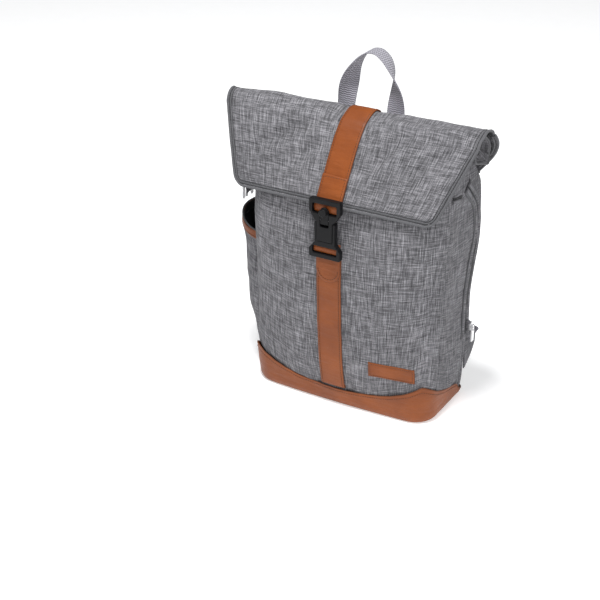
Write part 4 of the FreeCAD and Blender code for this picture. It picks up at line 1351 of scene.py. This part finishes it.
def make_pulls():
    """Flat pulls of the main zip, hanging from their crossbars and turned to the front."""
    for name, y, turn in (("a", -42.0, 50.0), ("b", -22.0, 42.0)):
        side = np.array((math.cos(math.radians(turn)), math.sin(math.radians(turn)), 0.0))
        path = np.linspace((-154.6, y, 263.6), (-154.6, y, 289.0), 30)
        scale = np.interp(path[:, 2], (263.6, 264.2, 265.2, 267, 280, 287.5, 289),
                          (0.25, 0.62, 0.9, 1.0, 0.85, 0.6, 0.3))
        section = [(a, b - 0.7) for a, b in flat_section(5.0, 1.4)]
        pull = sweep("zip_pull_" + name, path, side, section, SILVER, None, scale)
        ride(pull, "main_zip_pull_" + name, "main_pull_" + name)


def make_slit(tree):
    """Small slit pocket: a dark opening over a folded welt."""
    y = np.linspace(-36, -9, 20)
    z = 322 - (y + 36) * 0.2
    points, outs = on_surface(tree, np.column_stack([np.full(20, 260), y, z]), (-1, 0, 0), 0.4)
    points, outs = resample(points, 20), resample(outs, 20)
    along = np.gradient(points, axis=0)
    side = np.cross(along, outs)
    dark = ribbon("slit_opening", points + (0, 0, 2.0), side, 3.4, 0.7, LINING)
    ride(dark, "bag")
    welt = ribbon("slit_welt", points - (0, 0, 2.2), side, 5.2, 1.3, CLOTH, 0.5)
    ride(welt, "bag", "slit_pocket_welt")


# ---------------------------------------------------------------- wearer's side
def make_harness():
    yoke = soft_copy("padded_yoke", ["strap_yoke"], CLOTH, 2.0)
    smoothed(yoke, 0.5, 4)
    subdivide(yoke)
    add_weave(yoke)
    ride(yoke, "bag", "strap_yoke")
    roots = soft_copy("strap_root_wedges", ["strap_roots"], CLOTH, 2.0)
    smoothed(roots, 0.5, 3)
    add_weave(roots)
    ride(roots, "bag", "strap_roots")
    lines = []
    for z in (295.5, 322.5):
        lines.append((np.column_stack([np.linspace(-80, 80, 30), np.full(30, 66.2),
                                       np.full(30, z)]), (0, 1, 0)))
    ride(stitches("yoke_stitching", lines, GREY_THREAD), "bag")
    webs, loops = [], []
    for sign, side_name in ((-1, "left"), (1, "right")):
        corners = [(58.2, 34), (58.2, 100), (92, 84), (92, 64)]
        rows, cols = 16, 16
        grid = np.zeros((rows, cols, 3))
        for r, t in enumerate(np.linspace(0, 1, rows)):
            low = np.array(corners[0]) * (1 - t) + np.array(corners[1]) * t
            high = np.array(corners[3]) * (1 - t) + np.array(corners[2]) * t
            for c, s in enumerate(np.linspace(0, 1, cols)):
                p = low * (1 - s) + high * s
                bend = 1.2 * math.sin(math.pi * s)
                grid[r, c] = (sign * (135.6 + bend), p[0], p[1])
        if sign < 0:
            grid = grid[:, ::-1]
        wing = grid_object("cloth_wing_" + side_name, grid, CLOTH)
        thicken(wing, 2.6)
        subdivide(wing)
        ride(wing, "bag", "strap_wing_" + side_name)
        start, end = np.array((sign * 134, 93.4, 73.5)), np.array((sign * 87, 93.4, 108))
        path = spline([start, start * 0.6 + end * 0.4 + (0, 2.0, -3), end], 40)
        along = np.gradient(path, axis=0)
        webs.append(ribbon("web_" + side_name, path, np.cross(along, (0, 1, 0)), 20, 1.6, WEBBING))
        tip = np.array([(sign * 134.4, 86, 74), (sign * 134.8, 92, 73.6), (sign * 133.5, 95.2, 73.8),
                        (sign * 130, 94.2, 76)])
        webs.append(ribbon("tip_" + side_name, spline(tip, 20), (0, 0.1, 1), 19, 1.6, WEBBING))
        x = sign * 84.0
        hang = spline([(x, 93.4, 131), (x, 93.2, 124), (x, 93.6, 117.5)], 16)
        loops.append(ribbon("hold_" + side_name, hang, (1, 0, 0), 25, 1.6, WEBBING))
        tail = spline([(x, 101.4, 116), (x + 0.6, 102.6, 100), (x - 0.8, 101.6, 80),
                       (x, 102.8, 63)], 40)
        free = ribbon("webbing_tail_cloth_" + side_name, tail, (1, 0, 0), 20, 1.6, WEBBING)
        ride(free, "lock_" + side_name, "webbing_tail_" + side_name)
    ride(joined("lower_webbings", webs), "bag", "strap_webbings")
    ride(joined("lock_holding_loops", loops), "bag", "lock_loops")
    cords = []
    for sign in (-1, 1):
        outline = rounded_box(sign * 60, 173, 47.2, 112.2, 22)
        cords.append(tube("pad_cord", np.column_stack([outline[:, 0], np.full(len(outline), 64.0),
                                                       outline[:, 1]]), 1.5, BINDING))
    ride(joined("back_pad_piping", cords), "bag")


def rounded_box(x, z, half_x, half_z, radius):
    points = []
    for cx, cz, start in ((1, 1, 0), (-1, 1, 90), (-1, -1, 180), (1, -1, 270)):
        for t in np.radians(np.linspace(start, start + 90, 12)):
            points.append((x + cx * (half_x - radius) + radius * math.cos(t),
                           z + cz * (half_z - radius) + radius * math.sin(t)))
    return resample(np.array(points + points[:1]), 140)


def add_weave(obj):
    """Weave map for a remeshed piece, laid on from behind."""
    mesh = obj.data
    points = coordinates(mesh)
    layer = mesh.uv_layers.new(name="weave")
    index = np.zeros(len(mesh.loops), np.int32)
    mesh.loops.foreach_get("vertex_index", index)
    flat = np.column_stack([points[index, 0], points[index, 2] + 0.7 * points[index, 1]])
    layer.data.foreach_set("uv", flat.astype(np.float32).ravel())


# ---------------------------------------------------------------- inside
def make_inside():
    cols, rows = 120, 60
    grid = np.array([outline_part(z, "round", cols, 3.8) for z in np.linspace(5, 356, rows)])
    slack = abs(swell(grid, 40, 3.0, 5.5)) + 0.8 * abs(swell(grid, 15, 1.0, 2.5))
    grid = raised(grid, -1.0 - slack)
    floor = [grid[0] * (k, k, 1) for k in (0.02, 0.5, 0.97)]
    for ring in floor:
        ring[:, 2] = 5.0
    full = np.concatenate([np.array(floor), grid], axis=0)
    obj = grid_object("lining_bag", full, LINING)
    thicken(obj, 0.8)
    ride(obj, "bag", "lining")
    x = np.linspace(-117, 117, 60)
    z = np.linspace(9.5, 269, 50)
    sheet = np.zeros((50, 60, 3))
    sheet[..., 0], sheet[..., 2] = x[None, :], z[:, None]
    edge = np.minimum(117 - abs(sheet[..., 0]), 269 - sheet[..., 2])
    sheet[..., 0] *= 1 - 0.03 * smooth(sheet[..., 2], 250, 269)
    sheet[..., 1] = 36.2 + swell(sheet, 60, 1.5, 4.4) * 0.6 - 0.5 * np.exp(-((edge - 8) / 2) ** 2)
    sleeve = grid_object("padded_tablet_sleeve", sheet, LINING)
    thicken(sleeve, 2.8)
    subdivide(sleeve)
    ride(sleeve, "bag", "tablet_sleeve")
    x = np.linspace(-115, 115, 90)
    z = np.linspace(9.5, 150, 30)
    wall = np.zeros((30, 90, 3))
    wall[..., 0], wall[..., 2] = x[None, :], z[:, None]
    seams = np.exp(-((abs(wall[..., 0]) - 39) / 3.5) ** 2)
    gather = 0.7 * np.sin(wall[..., 0] / 2.1) * smooth(wall[..., 2], 110, 150)
    wall[..., 1] = -44.4 + gather + swell(wall, 30, 1.2, 3.6) - 7.5 * seams
    pockets = grid_object("inner_pocket_cloth", wall[:, ::-1], LINING)
    thicken(pockets, 0.8)
    subdivide(pockets)
    ride(pockets, "bag", "inner_pockets")
    top = wall[-1].copy()
    band = spline(top[::3], 90) + (0, 1.0, 3.5)
    strip = ribbon("pocket_elastic_band", band, (0, 0, 1), 8, 1.2, ELASTIC)
    ride(strip, "bag", "pocket_elastic")
    for name, y in (("front", -41.5), ("back", 25.0)):
        path = np.column_stack([np.linspace(-121, 121, 60), np.full(60, y), np.full(60, 368.6)])
        path[:, 1] += 0.5 * np.sin(path[:, 0] / 23)
        tape = ribbon("mouth_zip_" + name, path, (0, 0, 1), 7, 1.0, ZIP)
        ride(tape, "bag", "mouth_tape_" + name)


def make_buckle():
    """The moulded buckle, with its corners and edges rounded over."""
    for node, body in (("buckle_socket", "bag"), ("buckle_plug", "flap"),
                       ("release_lever", "buckle_lever")):
        obj = soft_copy("moulded_" + node, [node], PLASTIC, 0.55)
        smoothed(obj, 0.5, 4)
        ride(obj, body, node)


def make_knob():
    """Round press knob on the release lever, with a shallow rim."""
    profile = ((5.3, 0.0), (5.3, 1.6), (4.9, 2.1), (4.2, 2.1), (3.9, 1.7), (3.2, 1.8), (1.6, 2.3),
               (0.1, 2.45))
    turn = np.linspace(0, 2 * math.pi, 28, endpoint=False)
    grid = np.array([[(r * math.cos(t), -96.6 - h, 299.0 + r * math.sin(t)) for t in turn]
                     for r, h in profile])
    obj = grid_object("lever_knob", grid, PLASTIC, closed=True, capped=True)
    ride(obj, "buckle_lever")


def finish_hardware():
    """Materials and slots for the CAD nodes that stay as they are."""
    kept = {"ladder_lock_left": PLASTIC, "ladder_lock_right": PLASTIC, "base_board": BOARD,
            "socket_magnet": STEEL, "plug_magnet": STEEL, "lever_pin": STEEL}
    for name in ("main_slider_a", "main_slider_b", "side_slider", "side_pull"):
        kept[name] = SILVER
    for name, material in kept.items():
        mesh = NODES[name].data
        mesh.materials.clear()
        mesh.materials.append(material)


# ---------------------------------------------------------------- camera, light, floor
CAMERA_PLACE, CAMERA_BACK = (0.788, -1.501, 0.995), (0.4506, -0.7687, 0.4540)
LAMP_AIM = (0, 0, 0.2)
LAMPS = (("key", (1.9, -2.0, 2.3), 1.0, 50.0),      # name, place in m, size in m, power in W
         ("fill", (-1.9, -2.0, 1.9), 1.6, 7.0),
         ("top", (0.1, -0.7, 2.8), 0.6, 80.0))


def make_stage():
    data = bpy.data.cameras.new("Camera")
    data.lens, data.sensor_width = 84, 36
    camera = bpy.data.objects.new("Camera", data)
    bpy.context.scene.collection.objects.link(camera)
    camera.location = CAMERA_PLACE
    camera.rotation_mode = "QUATERNION"
    camera.rotation_quaternion = (-Vector(CAMERA_BACK)).to_track_quat("-Z", "Y")
    bpy.context.scene.camera = camera
    look = Look("PaleFloor", 0.9, 0.2)
    speck = look.noise(look.place(), 30.0, 2.0)
    tone = look.mix(look.range(speck, 0.3, 0.7), (0.90, 0.90, 0.905, 1), (0.92, 0.92, 0.925, 1))
    look.shader.inputs["Emission Color"].default_value = (1, 1, 1, 1)
    look.shader.inputs["Emission Strength"].default_value = 0.34
    mesh = bpy.data.meshes.new("floor")
    mesh.from_pydata([(-9, -9, 0), (9, -9, 0), (9, 9, 0), (-9, 9, 0)], [], [(0, 1, 2, 3)])
    mesh.materials.append(look.done(tone))
    floor = bpy.data.objects.new("floor", mesh)
    bpy.context.scene.collection.objects.link(floor)
    world = bpy.data.worlds.new("Studio")
    world.use_nodes = True
    sky = world.node_tree.nodes["Background"]
    sky.inputs[0].default_value = (0.97, 0.985, 1.0, 1)
    sky.inputs[1].default_value = 0.27
    bpy.context.scene.world = world
    for name, place, size, power in LAMPS:
        lamp = bpy.data.lights.new(name, "AREA")
        lamp.shape, lamp.size, lamp.energy = "DISK", size, power
        obj = bpy.data.objects.new(name, lamp)
        bpy.context.scene.collection.objects.link(obj)
        obj.location = place
        obj.rotation_mode = "QUATERNION"
        obj.rotation_quaternion = (Vector(LAMP_AIM) - Vector(place)).to_track_quat("-Z", "Y")
    bpy.context.scene.view_settings.view_transform = "Standard"


make_stage()
BODY = make_body()
make_base()
make_pads()
FRONT_TREE = grid_tree(BODY["front"])
RIGHT_TREE = grid_tree(BODY["right"], BODY["front"], BODY["back"], BODY["collar"])
make_lower_strap(FRONT_TREE)
make_patch(FRONT_TREE)
make_fold()
make_fold_back()
make_inner_curl()
make_upper_strap()
make_handle()
make_pocket()
make_side_zip(RIGHT_TREE)
make_main_zip()
make_pulls()
make_slit(RIGHT_TREE)
make_harness()
make_inside()
make_buckle()
make_knob()
finish_hardware()
